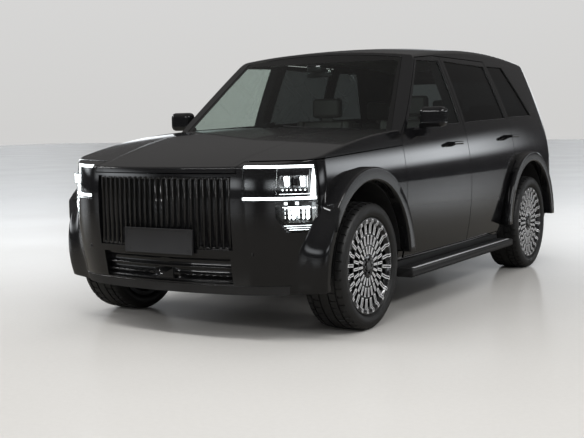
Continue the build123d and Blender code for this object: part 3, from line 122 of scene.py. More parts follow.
def finish(name, surface, **plain):
    """A material. plain sets sockets of its shader, and surface(start, place) gives those that vary."""
    made = bpy.data.materials.new(name)
    made.use_nodes = True
    tree = made.node_tree
    shader = tree.nodes["Principled BSDF"]
    for socket, value in plain.items():
        shader.inputs[socket.replace("_", " ")].default_value = value
    start = Wire(tree)
    place = start.node("ShaderNodeTexCoord", output="Object")
    for socket, wire in surface(start, place).items():
        tree.links.new(wire.socket, shader.inputs[socket])
    return made


def floor_surface(start, place):
    cloud = start.noise(place, 0.6, 3.0)
    speck = start.noise(place, 35.0)
    pale = (cloud * 0.6 + speck * 0.4).colours((0.60, 0.585, 0.555), (0.70, 0.685, 0.655))
    # Seen in polished parts, the floor takes a darker colour than its own: a painted reflection
    seen_in_reflection = start.node("ShaderNodeLightPath", output="Is Glossy Ray")
    return {"Base Color": seen_in_reflection.colours(pale, (0.17, 0.16, 0.14)), "Roughness": 0.14 + cloud * 0.06}


ahead = Vector((math.sin(YAW) * math.cos(PITCH), math.cos(YAW) * math.cos(PITCH), -math.sin(PITCH)))
level = Vector((math.cos(YAW), -math.sin(YAW), 0))
above = level.cross(ahead)
across = level * math.cos(ROLL) + above * math.sin(ROLL)
upright_axis = above * math.cos(ROLL) - level * math.sin(ROLL)
camera_data = bpy.data.cameras.new("camera")
camera_data.lens = FOCAL_PIXELS / IMAGE_W * camera_data.sensor_width
camera = bpy.data.objects.new("camera", camera_data)
camera_turn = Matrix((across, upright_axis, -ahead)).transposed().to_4x4()
camera.matrix_world = Matrix.Translation(CAMERA_PLACE) @ camera_turn
bpy.context.scene.collection.objects.link(camera)
bpy.context.scene.camera = camera
bpy.context.scene.view_settings.view_transform = "Standard"

FLOOR_HALF = 60.0
floor_mesh = bmesh.new()
bmesh.ops.create_grid(floor_mesh, x_segments=1, y_segments=1, size=FLOOR_HALF)
floor_data = bpy.data.meshes.new("floor")
floor_mesh.to_mesh(floor_data)
floor = bpy.data.objects.new("floor", floor_data)
floor_data.materials.append(finish("floor_tile", floor_surface, Specular_IOR_Level=0.05))
bpy.context.scene.collection.objects.link(floor)

# Columns: name, place, where it points, width, length, power in watts
LAMPS = (("lamp_over_front", (0.0, -4.2, 4.8), (0.0, -1.0, 0.0), 7.0, 0.4, 150.0),
         ("lamp_over_rear", (0.0, 5.5, 5.2), (0.0, 0.6, 0.0), 7.0, 0.4, 150.0),
         ("lamp_left", (6.5, -1.5, 4.4), (0.0, -0.4, 0.8), 6.0, 0.5, 170.0),
         ("lamp_right", (-6.5, -2.0, 4.4), (0.0, -0.4, 0.8), 6.0, 0.5, 120.0),
         ("lamp_front", (-1.5, -8.5, 3.8), (0.0, -1.5, 0.7), 4.0, 0.5, 110.0))
for lamp_name, lamp_place, aim, wide, long, power in LAMPS:
    lamp_data = bpy.data.lights.new(lamp_name, "AREA")
    lamp_data.shape, lamp_data.size, lamp_data.size_y, lamp_data.energy = "RECTANGLE", wide, long, power
    lamp = bpy.data.objects.new(lamp_name, lamp_data)
    lamp.location = lamp_place
    lamp.rotation_euler = (Vector(aim) - Vector(lamp_place)).to_track_quat("-Z", "Y").to_euler()
    # The hood's curve would mirror the overhead lamps as white blots
    lamp.visible_glossy = not lamp_name.startswith("lamp_over")
    bpy.context.scene.collection.objects.link(lamp)

world = bpy.data.worlds.new("studio")
world.use_nodes = True
bpy.context.scene.world = world
sky = Wire(world.node_tree)
seen, in_mirror, through_glass = (sky.node("ShaderNodeLightPath", output=kind) for kind in (
    "Is Camera Ray", "Is Glossy Ray", "Is Transmission Ray"))
towards_x, towards_y, height = sky.axes(sky.node("ShaderNodeTexCoord", output="Generated"))
backdrop = height.slope(0.0, 0.35, easing="LINEAR").colours((0.64, 0.635, 0.625), (0.74, 0.74, 0.74))
# Polished parts mirror a darker room: a grey ceiling, and a row of bright windows low on its walls
turn = sky.maths("ARCTAN2", towards_x, towards_y)
window_frames = sky.maths("PINGPONG", turn * 1.485 - 0.228, 0.5).slope(0.06, 0.42)
window_sill, window_head = height.slope(0.05, 0.09), height.slope(0.11, 0.17, 1.0, 0.0)
ceiling = height.slope(0.0, 0.7, easing="LINEAR").colours((0.035, 0.035, 0.037), (0.17, 0.165, 0.16))
mirrored = (window_frames * window_sill * window_head).colours(ceiling, (2.5, 2.6, 2.7))
lit_or_seen = sky.maths("MINIMUM", seen + through_glass, 1.0).colours((0.48, 0.48, 0.49), backdrop)
shown = in_mirror.colours(lit_or_seen, mirrored)
world.node_tree.links.new(shown.socket, world.node_tree.nodes["Background"].inputs["Color"])


def mottled(drift, off, on, rough, grain=None):
    """A surface of uneven colour and roughness. drift is the scale and detail of its noise, rough the
    least roughness and what the noise adds to it, grain the scale, detail and depth of a bump."""
    def surface(start, place):
        cloud = start.noise(place, *drift)
        look = {"Base Color": cloud.colours(off, on), "Roughness": rough[0] + cloud * rough[1]}
        if grain:
            look["Normal"] = start.bump(start.noise(place, *grain[:2]), grain[2])
        return look
    return surface


def give(node, material):
    """Gives a CAD node that stays in view its material."""
    nodes[node].data.materials.clear()
    nodes[node].data.materials.append(material)


chassis_paint = finish("chassis_paint", mottled((9.0, 4.0), (0.018, 0.018, 0.019), (0.055, 0.052, 0.048),
                                                (0.42, 0.3), (160.0, 3.0, 0.0006)), Metallic=0.2)
cast_iron = finish("cast_iron", mottled((12.0, 4.0), (0.16, 0.16, 0.16), (0.30, 0.29, 0.28),
                                        (0.5, 0.25), (220.0, 4.0, 0.0012)), Metallic=0.8)
for node in ("underbody", "front_suspension", "rear_suspension", "floor_pan"):
    give(node, chassis_paint)
for node in ("engine_block", "upright_l", "upright_r"):
    give(node, cast_iron)

# Coil springs round the front struts, wound from round steel wire and painted. Each stands
# between the strut's lower plate and the tower above it.
FRONT_AXLE_Y, REAR_AXLE_Y, AXLE_Z = -1.68, 1.35, 0.39
SPRING_X, SPRING_R, SPRING_TURNS, TURN_STEPS = 0.648, 0.056, 6, 24
WIRE_R, WIRE_SIDES = 0.0065, 8
SPRING_LOW, SPRING_HIGH = 0.668, 0.895


def add(name, shape, body, materials, sharp=32.0):
    """A finished piece from a bmesh: doubles merged, faces turned outwards, rides on its body."""
    bmesh.ops.remove_doubles(shape, verts=shape.verts, dist=2e-6)
    bmesh.ops.recalc_face_normals(shape, faces=shape.faces)
    mesh = bpy.data.meshes.new(name)
    shape.to_mesh(mesh)
    shape.free()
    mesh.shade_smooth()
    mesh.set_sharp_from_angle(angle=math.radians(sharp))
    piece = bpy.data.objects.new(name, mesh)
    bpy.context.scene.collection.objects.link(piece)
    for material in materials:
        mesh.materials.append(material)
    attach(piece, body)
    return piece


def loop_of(shape, points):
    """Closed loop of new vertices and edges through the points."""
    corners = [shape.verts.new(p) for p in points]
    return corners + [shape.edges.new((a, b)) for a, b in zip(corners, corners[1:] + corners[:1])]


def spring(shape, mirror_x):
    ring = [(mirror_x * (SPRING_X + SPRING_R + WIRE_R * math.cos(a)), FRONT_AXLE_Y,
             SPRING_LOW + WIRE_R + WIRE_R * math.sin(a))
            for a in np.linspace(0, 2 * math.pi, WIRE_SIDES, endpoint=False)]
    wire = loop_of(shape, ring)
    bmesh.ops.contextual_create(shape, geom=wire)
    steps = TURN_STEPS * SPRING_TURNS
    rise = (SPRING_HIGH - SPRING_LOW - 2 * WIRE_R) / steps
    turned = bmesh.ops.spin(shape, geom=wire, cent=(mirror_x * SPRING_X, FRONT_AXLE_Y, 0), axis=(0, 0, 1),
                            dvec=(0, 0, rise), angle=2 * math.pi * SPRING_TURNS, steps=steps)
    last = [e for e in turned["geom_last"] if isinstance(e, bmesh.types.BMEdge)]
    bmesh.ops.contextual_create(shape, geom=last)


springs = bmesh.new()
for mirror_x in (-1, 1):
    spring(springs, mirror_x)
add("coil_springs", springs, "root", [chassis_paint])

# Tyres: moulded rubber with four grooves round the tread, shoulder blocks cut across, and ribs on
# the side walls that guard the rim. The outline is (out from the middle plane, radius).
TYRE_X, TREAD_R, TREAD_STEPS = 0.868, 0.390, 180
WHEELS = [(f"{end}{side}", 1 if side == "l" else -1, y)
          for end, y in (("f", FRONT_AXLE_Y), ("r", REAR_AXLE_Y)) for side in "lr"]
HALF_TYRE = [(0.0, TREAD_R), (0.0262, TREAD_R), (0.0268, 0.3825), (0.0368, 0.3825), (0.0374, TREAD_R),
             (0.0600, TREAD_R), (0.0788, 0.3888), (0.0794, 0.3815), (0.0890, 0.3812), (0.0896, 0.3881),
             (0.1080, 0.3866), (0.1178, 0.3845), (0.1248, 0.3790), (0.1300, 0.3715), (0.1338, 0.3630),
             (0.1358, 0.3530), (0.1352, 0.3520), (0.1364, 0.3460), (0.1370, 0.3400), (0.1368, 0.3300),
             (0.1350, 0.3210), (0.1318, 0.3130), (0.1312, 0.3118), (0.1290, 0.3075), (0.1262, 0.3050),
             (0.1225, 0.3040), (0.1195, 0.3010), (0.1165, 0.2975), (0.1136, 0.2958), (0.1136, 0.2806),
             (0.0780, 0.2806), (0.0780, 0.2940), (0.1000, 0.3000), (0.1240, 0.3380), (0.1120, 0.3740)]
# Columns: inner and outer side of a ring of blocks, least radius, which step in four is a block
BLOCK_RINGS = ((0.090, 0.125, 0.378, 0), (0.0375, 0.078, 0.386, 2))
BLOCK_EDGE, BLOCK_DEEP = 0.0016, 0.005
rubber = finish("tyre_rubber", mottled((14.0, 3.0), (0.008, 0.008, 0.008), (0.017, 0.017, 0.017),
                                       (0.36, 0.18), (420.0, 2.0, 0.0004)))


def tyre_shape(side, axle_y):
    shape = bmesh.new()
    outline = HALF_TYRE + [(-out, radius) for out, radius in reversed(HALF_TYRE[1:])]
    loop = loop_of(shape, [(side * TYRE_X + out, axle_y, AXLE_Z + radius) for out, radius in outline])
    bmesh.ops.spin(shape, geom=loop, cent=(0, axle_y, AXLE_Z), axis=(1, 0, 0), angle=2 * math.pi,
                   steps=TREAD_STEPS, use_merge=True)
    bmesh.ops.recalc_face_normals(shape, faces=shape.faces)
    cuts = []
    for face in shape.faces:
        centre = face.calc_center_median()
        out = abs(centre.x - side * TYRE_X)
        radius = math.hypot(centre.y - axle_y, centre.z - AXLE_Z)
        turn = math.atan2(centre.z - AXLE_Z, centre.y - axle_y) / (2 * math.pi) * TREAD_STEPS
        if any(inner < out < outer and radius > least and math.floor(turn) % 4 == place
               for inner, outer, least, place in BLOCK_RINGS):
            cuts.append(face)
    bmesh.ops.inset_region(shape, faces=cuts, thickness=BLOCK_EDGE, depth=-BLOCK_DEEP, use_even_offset=True,
                           use_boundary=True)
    return shape


for wheel, side, axle_y in WHEELS:
    tyre = add(f"tread_{wheel}", tyre_shape(side, axle_y), f"wheel_{wheel}", [rubber], 28.0)
    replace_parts(tyre, f"tyre_{wheel}")

# Body panels: pressed steel and moulded bumpers, all in one gloss black paint under a clear coat.
# The body is built of tangent arcs, in plan and in section. Each panel is a copy of the frame's
# with its triangles joined, and takes its shading from those arcs, so reflections run true.
HALF_WIDTH, SIDE_R, SIDE_MID_Y = 0.985, 40.0, -0.1
NOSE_Y, NOSE_R, NOSE_HALF, LAMP_R, CORNER_R = -2.485, 2.6, 0.52, 0.62, 0.2
TAIL_Y, TAIL_R, TAIL_CORNER_R = 2.485, 4.2, 0.385
Z_WIDEST, Z_BELT, TUCK_R, SHOULDER_R, GLASS_R = 0.8, 1.25, 2.036, 1.442, 5.19
BELT_ANGLE = math.asin((Z_BELT - Z_WIDEST) / SHOULDER_R)
# Columns: y and z of the highest point, radius along the car, radius across it
CROWNS = ((FRONT_AXLE_Y + 0.830, 1.252, 5.75, 11.0), (FRONT_AXLE_Y + 2.600, 1.865, 12.0, 5.5))
SCREEN_R, SCREEN_TILT, SCREEN_FOOT = 4.4, math.radians(39.5), Vector((0, FRONT_AXLE_Y + 0.490, 1.203))


def arc_between(a, a_r, b, b_r, radius, turn):
    """Centre of the arc of a radius that lies inside two circles and touches both."""
    from_a, from_b, line = a_r - radius, b_r - radius, b - a
    along = (from_a ** 2 - from_b ** 2 + line.length ** 2) / (2 * line.length)
    off = math.sqrt(from_a ** 2 - along ** 2)
    return a + line.normalized() * along + turn * off * Vector((-line.y, line.x)).normalized()


def bearing(start, end):
    return math.degrees(math.atan2(end.y - start.y, end.x - start.x))


side_c = Vector((HALF_WIDTH - SIDE_R, SIDE_MID_Y))
nose_c = Vector((0, NOSE_Y + NOSE_R))
nose_turn = math.asin(NOSE_HALF / NOSE_R)
lamp_c = nose_c + (NOSE_R - LAMP_R) * Vector((math.sin(nose_turn), -math.cos(nose_turn)))
corner_c = arc_between(lamp_c, LAMP_R, side_c, SIDE_R, CORNER_R, 1)
tail_c = Vector((0, TAIL_Y - TAIL_R))
rear_c = arc_between(tail_c, TAIL_R, side_c, SIDE_R, TAIL_CORNER_R, -1)
nose_end = -90 + math.degrees(nose_turn)
# Columns: centre, radius, first and last bearing in degrees
PLAN = ((nose_c, NOSE_R, -90.0, nose_end),
        (lamp_c, LAMP_R, nose_end, bearing(lamp_c, corner_c)),
        (corner_c, CORNER_R, bearing(lamp_c, corner_c), bearing(side_c, corner_c)),
        (side_c, SIDE_R, bearing(side_c, corner_c), bearing(side_c, rear_c)),
        (rear_c, TAIL_CORNER_R, bearing(side_c, rear_c), bearing(tail_c, rear_c)),
        (tail_c, TAIL_R, bearing(tail_c, rear_c), 90.0))


def unit(vectors):
    return vectors / np.maximum(np.linalg.norm(vectors, axis=1, keepdims=True), 1e-9)


def wall_normals(spots):
    """Outward normals of the body wall at an array of points."""
    x, y, z = np.abs(spots[:, 0]), spots[:, 1], spots[:, 2]
    best, off, ux, uy = (np.full(len(spots), v) for v in (9.0, 0.0, 1.0, 0.0))
    for centre, radius, first, last in PLAN:
        dx, dy = x - centre.x, y - centre.y
        far, turn = np.hypot(dx, dy), np.degrees(np.arctan2(dy, dx))
        take = (turn > first - 0.2) & (turn < last + 0.2) & (np.abs(far - radius) < best)
        best[take], off[take] = np.abs(far - radius)[take], (far - radius)[take]
        ux[take], uy[take] = (dx / far)[take], (dy / far)[take]
    glass = np.arctan2(z - Z_WIDEST, off + SHOULDER_R) > BELT_ANGLE
    lean = np.where(z < Z_WIDEST, off + TUCK_R, off + SHOULDER_R)
    rise = z - Z_WIDEST
    lean = np.where(glass, lean + (GLASS_R - SHOULDER_R) * math.cos(BELT_ANGLE), lean)
    rise = np.where(glass, rise + (GLASS_R - SHOULDER_R) * math.sin(BELT_ANGLE), rise)
    return unit(np.stack([np.sign(spots[:, 0]) * ux * lean, uy * lean, rise], 1))


def crown_normals(spots, peak_y, peak_z, length_r, crown_r):
    dy, dz = spots[:, 1] - peak_y, spots[:, 2] - peak_z + length_r
    far = np.hypot(dy, dz)
    rise = far - length_r + crown_r
    return unit(np.stack([spots[:, 0], rise * dy / far, rise * dz / far], 1))


def screen_normals(spots):
    along = np.array([0, math.cos(SCREEN_TILT), math.sin(SCREEN_TILT)])
    axis = np.array(SCREEN_FOOT) + SCREEN_R * np.array([0, math.sin(SCREEN_TILT), -math.cos(SCREEN_TILT)])
    from_axis = spots - axis
    return unit(from_axis - np.outer(from_axis @ along, along))


def read(things, field, width, kind=float):
    """A field of all vertices, corners or faces of a mesh as one array."""
    values = np.empty(len(things) * width, kind)
    things.foreach_get(field, values)
    return values


def true_shading(mesh, smooth_angle=40.0, match_angle=9.0):
    """Corner normals from the body's arcs where a face lies on one, and averages elsewhere."""
    count = len(mesh.vertices)
    spots = read(mesh.vertices, "co", 3).reshape(-1, 3)
    kinds = [wall_normals(spots), screen_normals(spots)] + [crown_normals(spots, *crown) for crown in CROWNS]
    corner = read(mesh.loops, "vertex_index", 1, int).reshape(-1, 3)
    flat = read(mesh.polygons, "normal", 3).reshape(-1, 3)
    area = read(mesh.polygons, "area", 1)
    fits = np.stack([np.abs((kind[corner] * flat[:, None]).sum(2)).min(1) for kind in kinds])
    kind = fits.argmax(0)
    true = fits.max(0) > math.cos(math.radians(match_angle))
    result = np.stack(kinds)[kind[:, None], corner]
    result *= np.sign((result * flat[:, None]).sum(2, keepdims=True))
    order = np.argsort(corner.ravel(), kind="stable")
    starts = np.searchsorted(corner.ravel()[order], np.arange(count + 1))
    limit = math.cos(math.radians(smooth_angle))
    for face in np.nonzero(~true)[0]:
        for place in range(3):
            vertex = corner[face, place]
            around = order[starts[vertex]:starts[vertex + 1]]
            near = around[flat[around // 3] @ flat[face] > limit]
            exact = near[true[near // 3]]
            if len(exact):
                result[face, place] = result[exact[0] // 3, exact[0] % 3]
            else:
                result[face, place] = (flat[near // 3] * area[near // 3, None]).sum(0)
    mesh.normals_split_custom_set(unit(result.reshape(-1, 3)).tolist())


def skin(node, materials, choose=None, cuts=()):
    """The shown copy of a body panel. choose(face) gives a face its place in the list of materials."""
    shape = bmesh.new()
    shape.from_mesh(nodes[node].data)
    bmesh.ops.remove_doubles(shape, verts=shape.verts, dist=5e-6)
    bmesh.ops.dissolve_degenerate(shape, edges=shape.edges, dist=1e-7)
    for place, facing in cuts:
        bmesh.ops.bisect_plane(shape, geom=shape.verts[:] + shape.edges[:] + shape.faces[:], dist=1e-6,
                               plane_co=place, plane_no=facing)
    bmesh.ops.triangulate(shape, faces=shape.faces)
    if choose:
        for face in shape.faces:
            face.material_index = choose(face)
    mesh = bpy.data.meshes.new(f"{node}_skin")
    shape.to_mesh(mesh)
    shape.free()
    mesh.shade_smooth()
    true_shading(mesh)
    piece = bpy.data.objects.new(f"{node}_skin", mesh)
    bpy.context.scene.collection.objects.link(piece)
    for material in materials:
        mesh.materials.append(material)
    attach(piece, nodes[node]["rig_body"])
    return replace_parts(piece, node)


PAINT_COAT = {"Coat_Weight": 1.0, "Coat_Roughness": 0.015, "Specular_IOR_Level": 0.15}
paint_surface = mottled((2.2, 3.0), (0.0045, 0.0045, 0.005), (0.0075, 0.0075, 0.008), (0.10, 0.08),
                        (70.0, 1.0, 0.000006))
paint = finish("black_paint", paint_surface, **PAINT_COAT)
satin_trim = finish("satin_trim", mottled((6.0, 3.0), (0.012, 0.012, 0.012), (0.022, 0.022, 0.023),
                                          (0.42, 0.14), (700.0, 2.0, 0.0003)))
LIP_TOP_Z, LIP_TILT = 0.335, 0.7
# How far outwards the hood's crease runs per metre, its x at y 0, half its width and its height
CREASE_SLOPE, CREASE_X, CREASE_HALF, CREASE_HIGH = 0.113, 0.741, 0.018, 0.0035


def lip_below(face):
    return int(face.calc_center_median().z < LIP_TOP_Z and abs(face.normal.z) < LIP_TILT)


def hood_surface(start, place):
    """The paint, with the pressed crease that runs forward along each side of the hood."""
    x, y, _ = start.axes(place)
    off_crease = start.maths("ABSOLUTE", x) - (y * CREASE_SLOPE + CREASE_X)
    look = paint_surface(start, place)
    look["Normal"] = start.bump(off_crease.slope(-CREASE_HALF, CREASE_HALF, 1.0, 0.0), CREASE_HIGH)
    return look


skin("hood", [finish("hood_paint", hood_surface, **PAINT_COAT)])
for node in ("body_sides", "roof_panel", "front_fenders", "tailgate",
             "door_fl", "door_fr", "door_rl", "door_rr"):
    skin(node, [paint])
skin("front_bumper", [paint, satin_trim], lip_below, [((0, 0, LIP_TOP_Z), (0, 0, 1))])

# Wheels: cast alloy in gloss black, with a machined silver bar on every spoke. The bars stand in
# three rings, the outer ones bent over the rim's lip, and each has a slot milled along it. A brake
# disc of bare ground steel shows behind the face, and a plain cap and nuts close the hub.
DISC_R, DISC_OUT_X = 0.178, 0.829


def copy_of(node, materials, choose=None, sharp=32.0):
    """The shown copy of a CAD node that is not a body panel."""
    shape = bmesh.new()
    shape.from_mesh(nodes[node].data)
    bmesh.ops.remove_doubles(shape, verts=shape.verts, dist=5e-6)
    if choose:
        for face in shape.faces:
            face.material_index = choose(face)
    piece = add(f"{node}_shown", shape, nodes[node]["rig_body"], materials, sharp)
    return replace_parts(piece, node)


def machined_surface(start, place):
    lines = start.noise(place, 900.0, 1.0)
    film = start.noise(place, 20.0, 2.0)
    return {"Base Color": film.colours((0.82, 0.82, 0.83), (0.92, 0.92, 0.93)),
            "Roughness": 0.30 + lines * 0.12}


gloss_black = finish("gloss_black", mottled((5.0, 3.0), (0.005, 0.005, 0.0055), (0.009, 0.009, 0.0095),
                                            (0.09, 0.07)),
                     Coat_Weight=0.8, Coat_Roughness=0.03, Specular_IOR_Level=0.2)
machined = finish("machined_alloy", machined_surface, Metallic=0.35)
disc_steel = finish("disc_steel", mottled((300.0, 1.0), (0.32, 0.31, 0.30), (0.46, 0.45, 0.44), (0.28, 0.2)),
                    Metallic=1.0)
slot_black = finish("slot_black", mottled((40.0, 2.0), (0.008, 0.008, 0.008), (0.016, 0.016, 0.016),
                                          (0.35, 0.2)))
# Columns: how many bars, share of a pitch turned, bar width, outline of a bar as (radius, out)
BAR_ROWS = ((24, 0.5, 0.0190, ((0.200, 0.106), (0.200, 0.1118), (0.257, 0.1118), (0.2665, 0.1238),
                               (0.2885, 0.1238), (0.2885, 0.119), (0.262, 0.106))),
            (24, 0.0, 0.0165, ((0.133, 0.106), (0.133, 0.1112), (0.189, 0.1112), (0.189, 0.106))),
            (18, 0.5, 0.0135, ((0.075, 0.106), (0.075, 0.1106), (0.121, 0.1106), (0.121, 0.106))))
BAR_RIM, SLOT_EDGE, SLOT_DEEP = 0.0054, 0.0004, 0.0022
CAP_OUTLINE = ((0.0, 0.1065), (0.0, 0.1150), (0.024, 0.1148), (0.0262, 0.1132), (0.0285, 0.1132),
               (0.0300, 0.1150), (0.0335, 0.1146), (0.0350, 0.1125), (0.0352, 0.1065))
NUT_COUNT, NUT_CIRCLE, NUT_OUT, NUT_R, NUT_LONG = 6, 0.0485, 0.108, 0.0095, 0.013


def bars_shape(side, axle_y):
    whole = bmesh.new()
    for count, shift, wide, outline in BAR_ROWS:
        loop = loop_of(whole, [(side * (TYRE_X + out), axle_y - wide / 2, AXLE_Z + r) for r, out in outline])
        before = set(whole.faces)
        made = bmesh.ops.contextual_create(whole, geom=loop)["faces"]
        grown = bmesh.ops.extrude_face_region(whole, geom=made, use_keep_orig=True)
        ends = [g for g in grown["geom"] if isinstance(g, bmesh.types.BMVert)]
        bmesh.ops.translate(whole, verts=ends, vec=(0, wide, 0))
        new = [f for f in whole.faces if f not in before]
        bmesh.ops.recalc_face_normals(whole, faces=new)
        # The faces that look outwards, where the slot is milled
        tops = [f for f in new if abs(f.normal.y) < 0.5 and f.normal.x * side > 0.4]
        bmesh.ops.inset_region(whole, faces=tops, thickness=BAR_RIM, depth=0, use_boundary=True,
                               use_even_offset=True)
        sunk = bmesh.ops.inset_region(whole, faces=tops, thickness=SLOT_EDGE, depth=-SLOT_DEEP,
                                      use_boundary=True, use_even_offset=True)
        for face in tops + sunk["faces"]:
            face.material_index = 1
        first = [f for f in whole.faces if f not in before]
        corners = list({v for f in first for v in f.verts})
        edges = list({e for f in first for e in f.edges})
        bmesh.ops.rotate(whole, cent=(0, axle_y, AXLE_Z), verts=corners,
                         matrix=Matrix.Rotation(2 * math.pi * shift / count, 3, "X"))
        bmesh.ops.spin(whole, geom=corners + edges + first, cent=(0, axle_y, AXLE_Z), axis=(1, 0, 0),
                       angle=2 * math.pi * (count - 1) / count, steps=count - 1, use_duplicate=True)
    return whole


def faces_of(verts):
    return {f for v in verts for f in v.link_faces}


def disc(shape, matrix, radius, long, segments, material=0, taper=1.0):
    """A round or many sided disc or bar along the matrix's z, its far end narrowed by the taper."""
    verts = bmesh.ops.create_cone(shape, cap_ends=True, segments=segments, radius1=radius,
                                  radius2=radius * taper, depth=long, matrix=matrix)["verts"]
    for face in faces_of(verts):
        face.material_index = material
    return verts


def cap_shape(side, axle_y):
    shape = bmesh.new()
    points = [shape.verts.new((side * (TYRE_X + out), axle_y, AXLE_Z + r)) for r, out in CAP_OUTLINE]
    line = [shape.edges.new(two) for two in zip(points, points[1:] + points[:1])]
    bmesh.ops.spin(shape, geom=points + line, cent=(0, axle_y, AXLE_Z), axis=(1, 0, 0), angle=2 * math.pi,
                   steps=48, use_merge=True)
    for nut in range(NUT_COUNT):
        turn = 2 * math.pi * (nut + 0.5) / NUT_COUNT
        place = Vector((side * (TYRE_X + NUT_OUT), axle_y + NUT_CIRCLE * math.sin(turn),
                        AXLE_Z + NUT_CIRCLE * math.cos(turn)))
        disc(shape, Matrix.Translation(place) @ Matrix.Rotation(math.pi / 2, 4, "Y"), NUT_R, NUT_LONG, 6)
    return shape


def disc_face(face):
    centre = face.calc_center_median()
    axle_y = FRONT_AXLE_Y if centre.y < 0 else REAR_AXLE_Y
    radius = math.hypot(centre.y - axle_y, centre.z - AXLE_Z)
    return int(abs(centre.x) < DISC_OUT_X and radius < DISC_R + 0.001)


for wheel, side, axle_y in WHEELS:
    copy_of(f"rim_{wheel}", [gloss_black, disc_steel], disc_face)
    add(f"bars_{wheel}", bars_shape(side, axle_y), f"wheel_{wheel}", [machined, slot_black],
        20.0)
    add(f"cap_{wheel}", cap_shape(side, axle_y), f"wheel_{wheel}", [gloss_black])

# Wheel liners, cowl tray, side steps and the valances that close the gap over them are moulded in
# grained black plastic. Each step has a ribbed rubber mat and a brushed trim strip in its top.
for node in ("wheel_liners", "cowl"):
    give(node, satin_trim)
copy_of("side_steps", [satin_trim])
VALANCE_LOW, VALANCE_HIGH = (0.892, -1.13, 0.290), (0.898, 0.798, 0.353)
STEP_TOP_Z, STEP_LOW_Y, STEP_HIGH_Y = 0.304, -1.09, 0.755
MAT_X, STRIP_X, EDGE_ROUND = (0.922, 0.990), (0.994, 1.016), 0.001
RIB_COUNT, RIB_X, RIB_PITCH, RIB_WIDE, RIB_END = 5, 0.926, 0.0125, 0.007, 0.01


def block(shape, low, high, bevel=0.0, material=0, segments=2):
    """A box between two corners, its edges rounded."""
    size = [b - a for a, b in zip(low, high)]
    middle = [(a + b) / 2 for a, b in zip(low, high)]
    matrix = Matrix.Translation(middle) @ Matrix.Diagonal((*size, 1))
    corners = bmesh.ops.create_cube(shape, size=1.0, matrix=matrix)["verts"]
    for face in faces_of(corners):
        face.material_index = material
    if bevel:
        edges = list({e for v in corners for e in v.link_edges})
        bmesh.ops.bevel(shape, geom=edges, offset=bevel, segments=segments, profile=0.5, affect="EDGES",
                        material=-1)


def panel(shape, place, steps, thick, material=0):
    """A curved plate: a grid over 0 to 1 each way, put in place by a function and thickened."""
    made = bmesh.ops.create_grid(shape, x_segments=steps[0], y_segments=steps[1], size=0.5)["verts"]
    for vert in made:
        vert.co = place(vert.co.x + 0.5, vert.co.y + 0.5)
    faces = list(faces_of(made))
    thickened = bmesh.ops.solidify(shape, geom=faces, thickness=thick)
    for face in faces + [g for g in thickened["geom"] if isinstance(g, bmesh.types.BMFace)]:
        face.material_index = material


def both_sides(shape):
    """Adds the mirror image of everything in the shape on the car's other side."""
    bmesh.ops.mirror(shape, geom=shape.verts[:] + shape.edges[:] + shape.faces[:], axis="X", merge_dist=-1.0)


valance, mats, strips = bmesh.new(), bmesh.new(), bmesh.new()
block(valance, VALANCE_LOW, VALANCE_HIGH, EDGE_ROUND)
block(mats, (MAT_X[0], STEP_LOW_Y, STEP_TOP_Z - 0.002), (MAT_X[1], STEP_HIGH_Y, STEP_TOP_Z + 0.0015),
      EDGE_ROUND)
for rib in range(RIB_COUNT):
    rib_x = RIB_X + rib * RIB_PITCH
    block(mats, (rib_x, STEP_LOW_Y + RIB_END, STEP_TOP_Z),
          (rib_x + RIB_WIDE, STEP_HIGH_Y - RIB_END, STEP_TOP_Z + 0.0035), EDGE_ROUND)
block(strips, (STRIP_X[0], STEP_LOW_Y, STEP_TOP_Z - 0.004), (STRIP_X[1], STEP_HIGH_Y, STEP_TOP_Z + 0.0012),
      EDGE_ROUND)
for name, shape, material, slot_name in (("sill_valance", valance, satin_trim, "satin_black_plastic"),
                                         ("step_mats", mats, rubber, "tyre_rubber"),
                                         ("step_strips", strips, machined, "satin_black_plastic")):
    both_sides(shape)
    add(name, shape, "root", [material])

# Wheel arch trims: moulded gloss black flares clipped over the panels' edges. In front of each
# front wheel a flare of the bumper carries the line down, narrowing to the bumper's lower edge.
BUMPER_FLARE_TURNS = (math.radians(135), math.radians(191))
# Each at the upper and the lower end: inner radius, radius where it meets the bumper, x of its edge
BUMPER_FLARE_IN, BUMPER_FLARE_OUT, BUMPER_FLARE_X = (0.521, 0.462), (0.603, 0.575), (1.0225, 0.968)
BUMPER_FLARE_FLAT, BUMPER_FLARE_SUNK, BUMPER_FLARE_THICK = 0.30, 0.002, 0.004
# Degrees by which a point may lie past the end of an arc and still belong to it
BEARING_SLACK = 0.6


def section_r(z, inset=0.0):
    """How far the body's section leans in from its widest, at a height."""
    if z <= Z_WIDEST:
        return -TUCK_R + math.sqrt((TUCK_R - inset) ** 2 - (z - Z_WIDEST) ** 2)
    joint = Z_WIDEST + (SHOULDER_R - inset) * math.sin(BELT_ANGLE)
    if z <= joint:
        return -SHOULDER_R + math.sqrt((SHOULDER_R - inset) ** 2 - (z - Z_WIDEST) ** 2)
    shift = SHOULDER_R - GLASS_R
    rise = z - Z_WIDEST - shift * math.sin(BELT_ANGLE)
    return -SHOULDER_R + shift * math.cos(BELT_ANGLE) + math.sqrt((GLASS_R - inset) ** 2 - rise ** 2)


def wall_x(y, z):
    """x of the body's left wall, round the front corner too."""
    for centre, radius, first, last in PLAN[1:5]:
        reach = radius + section_r(z)
        if abs(y - centre.y) < reach:
            x = centre.x + math.sqrt(reach ** 2 - (y - centre.y) ** 2)
            if first - BEARING_SLACK <= bearing(centre, Vector((x, y))) <= last + BEARING_SLACK:
                return x
    raise ValueError("no wall there")


def between(ends, share):
    """The value at a share of the way from the first end to the other."""
    return ends[0] + (ends[1] - ends[0]) * share


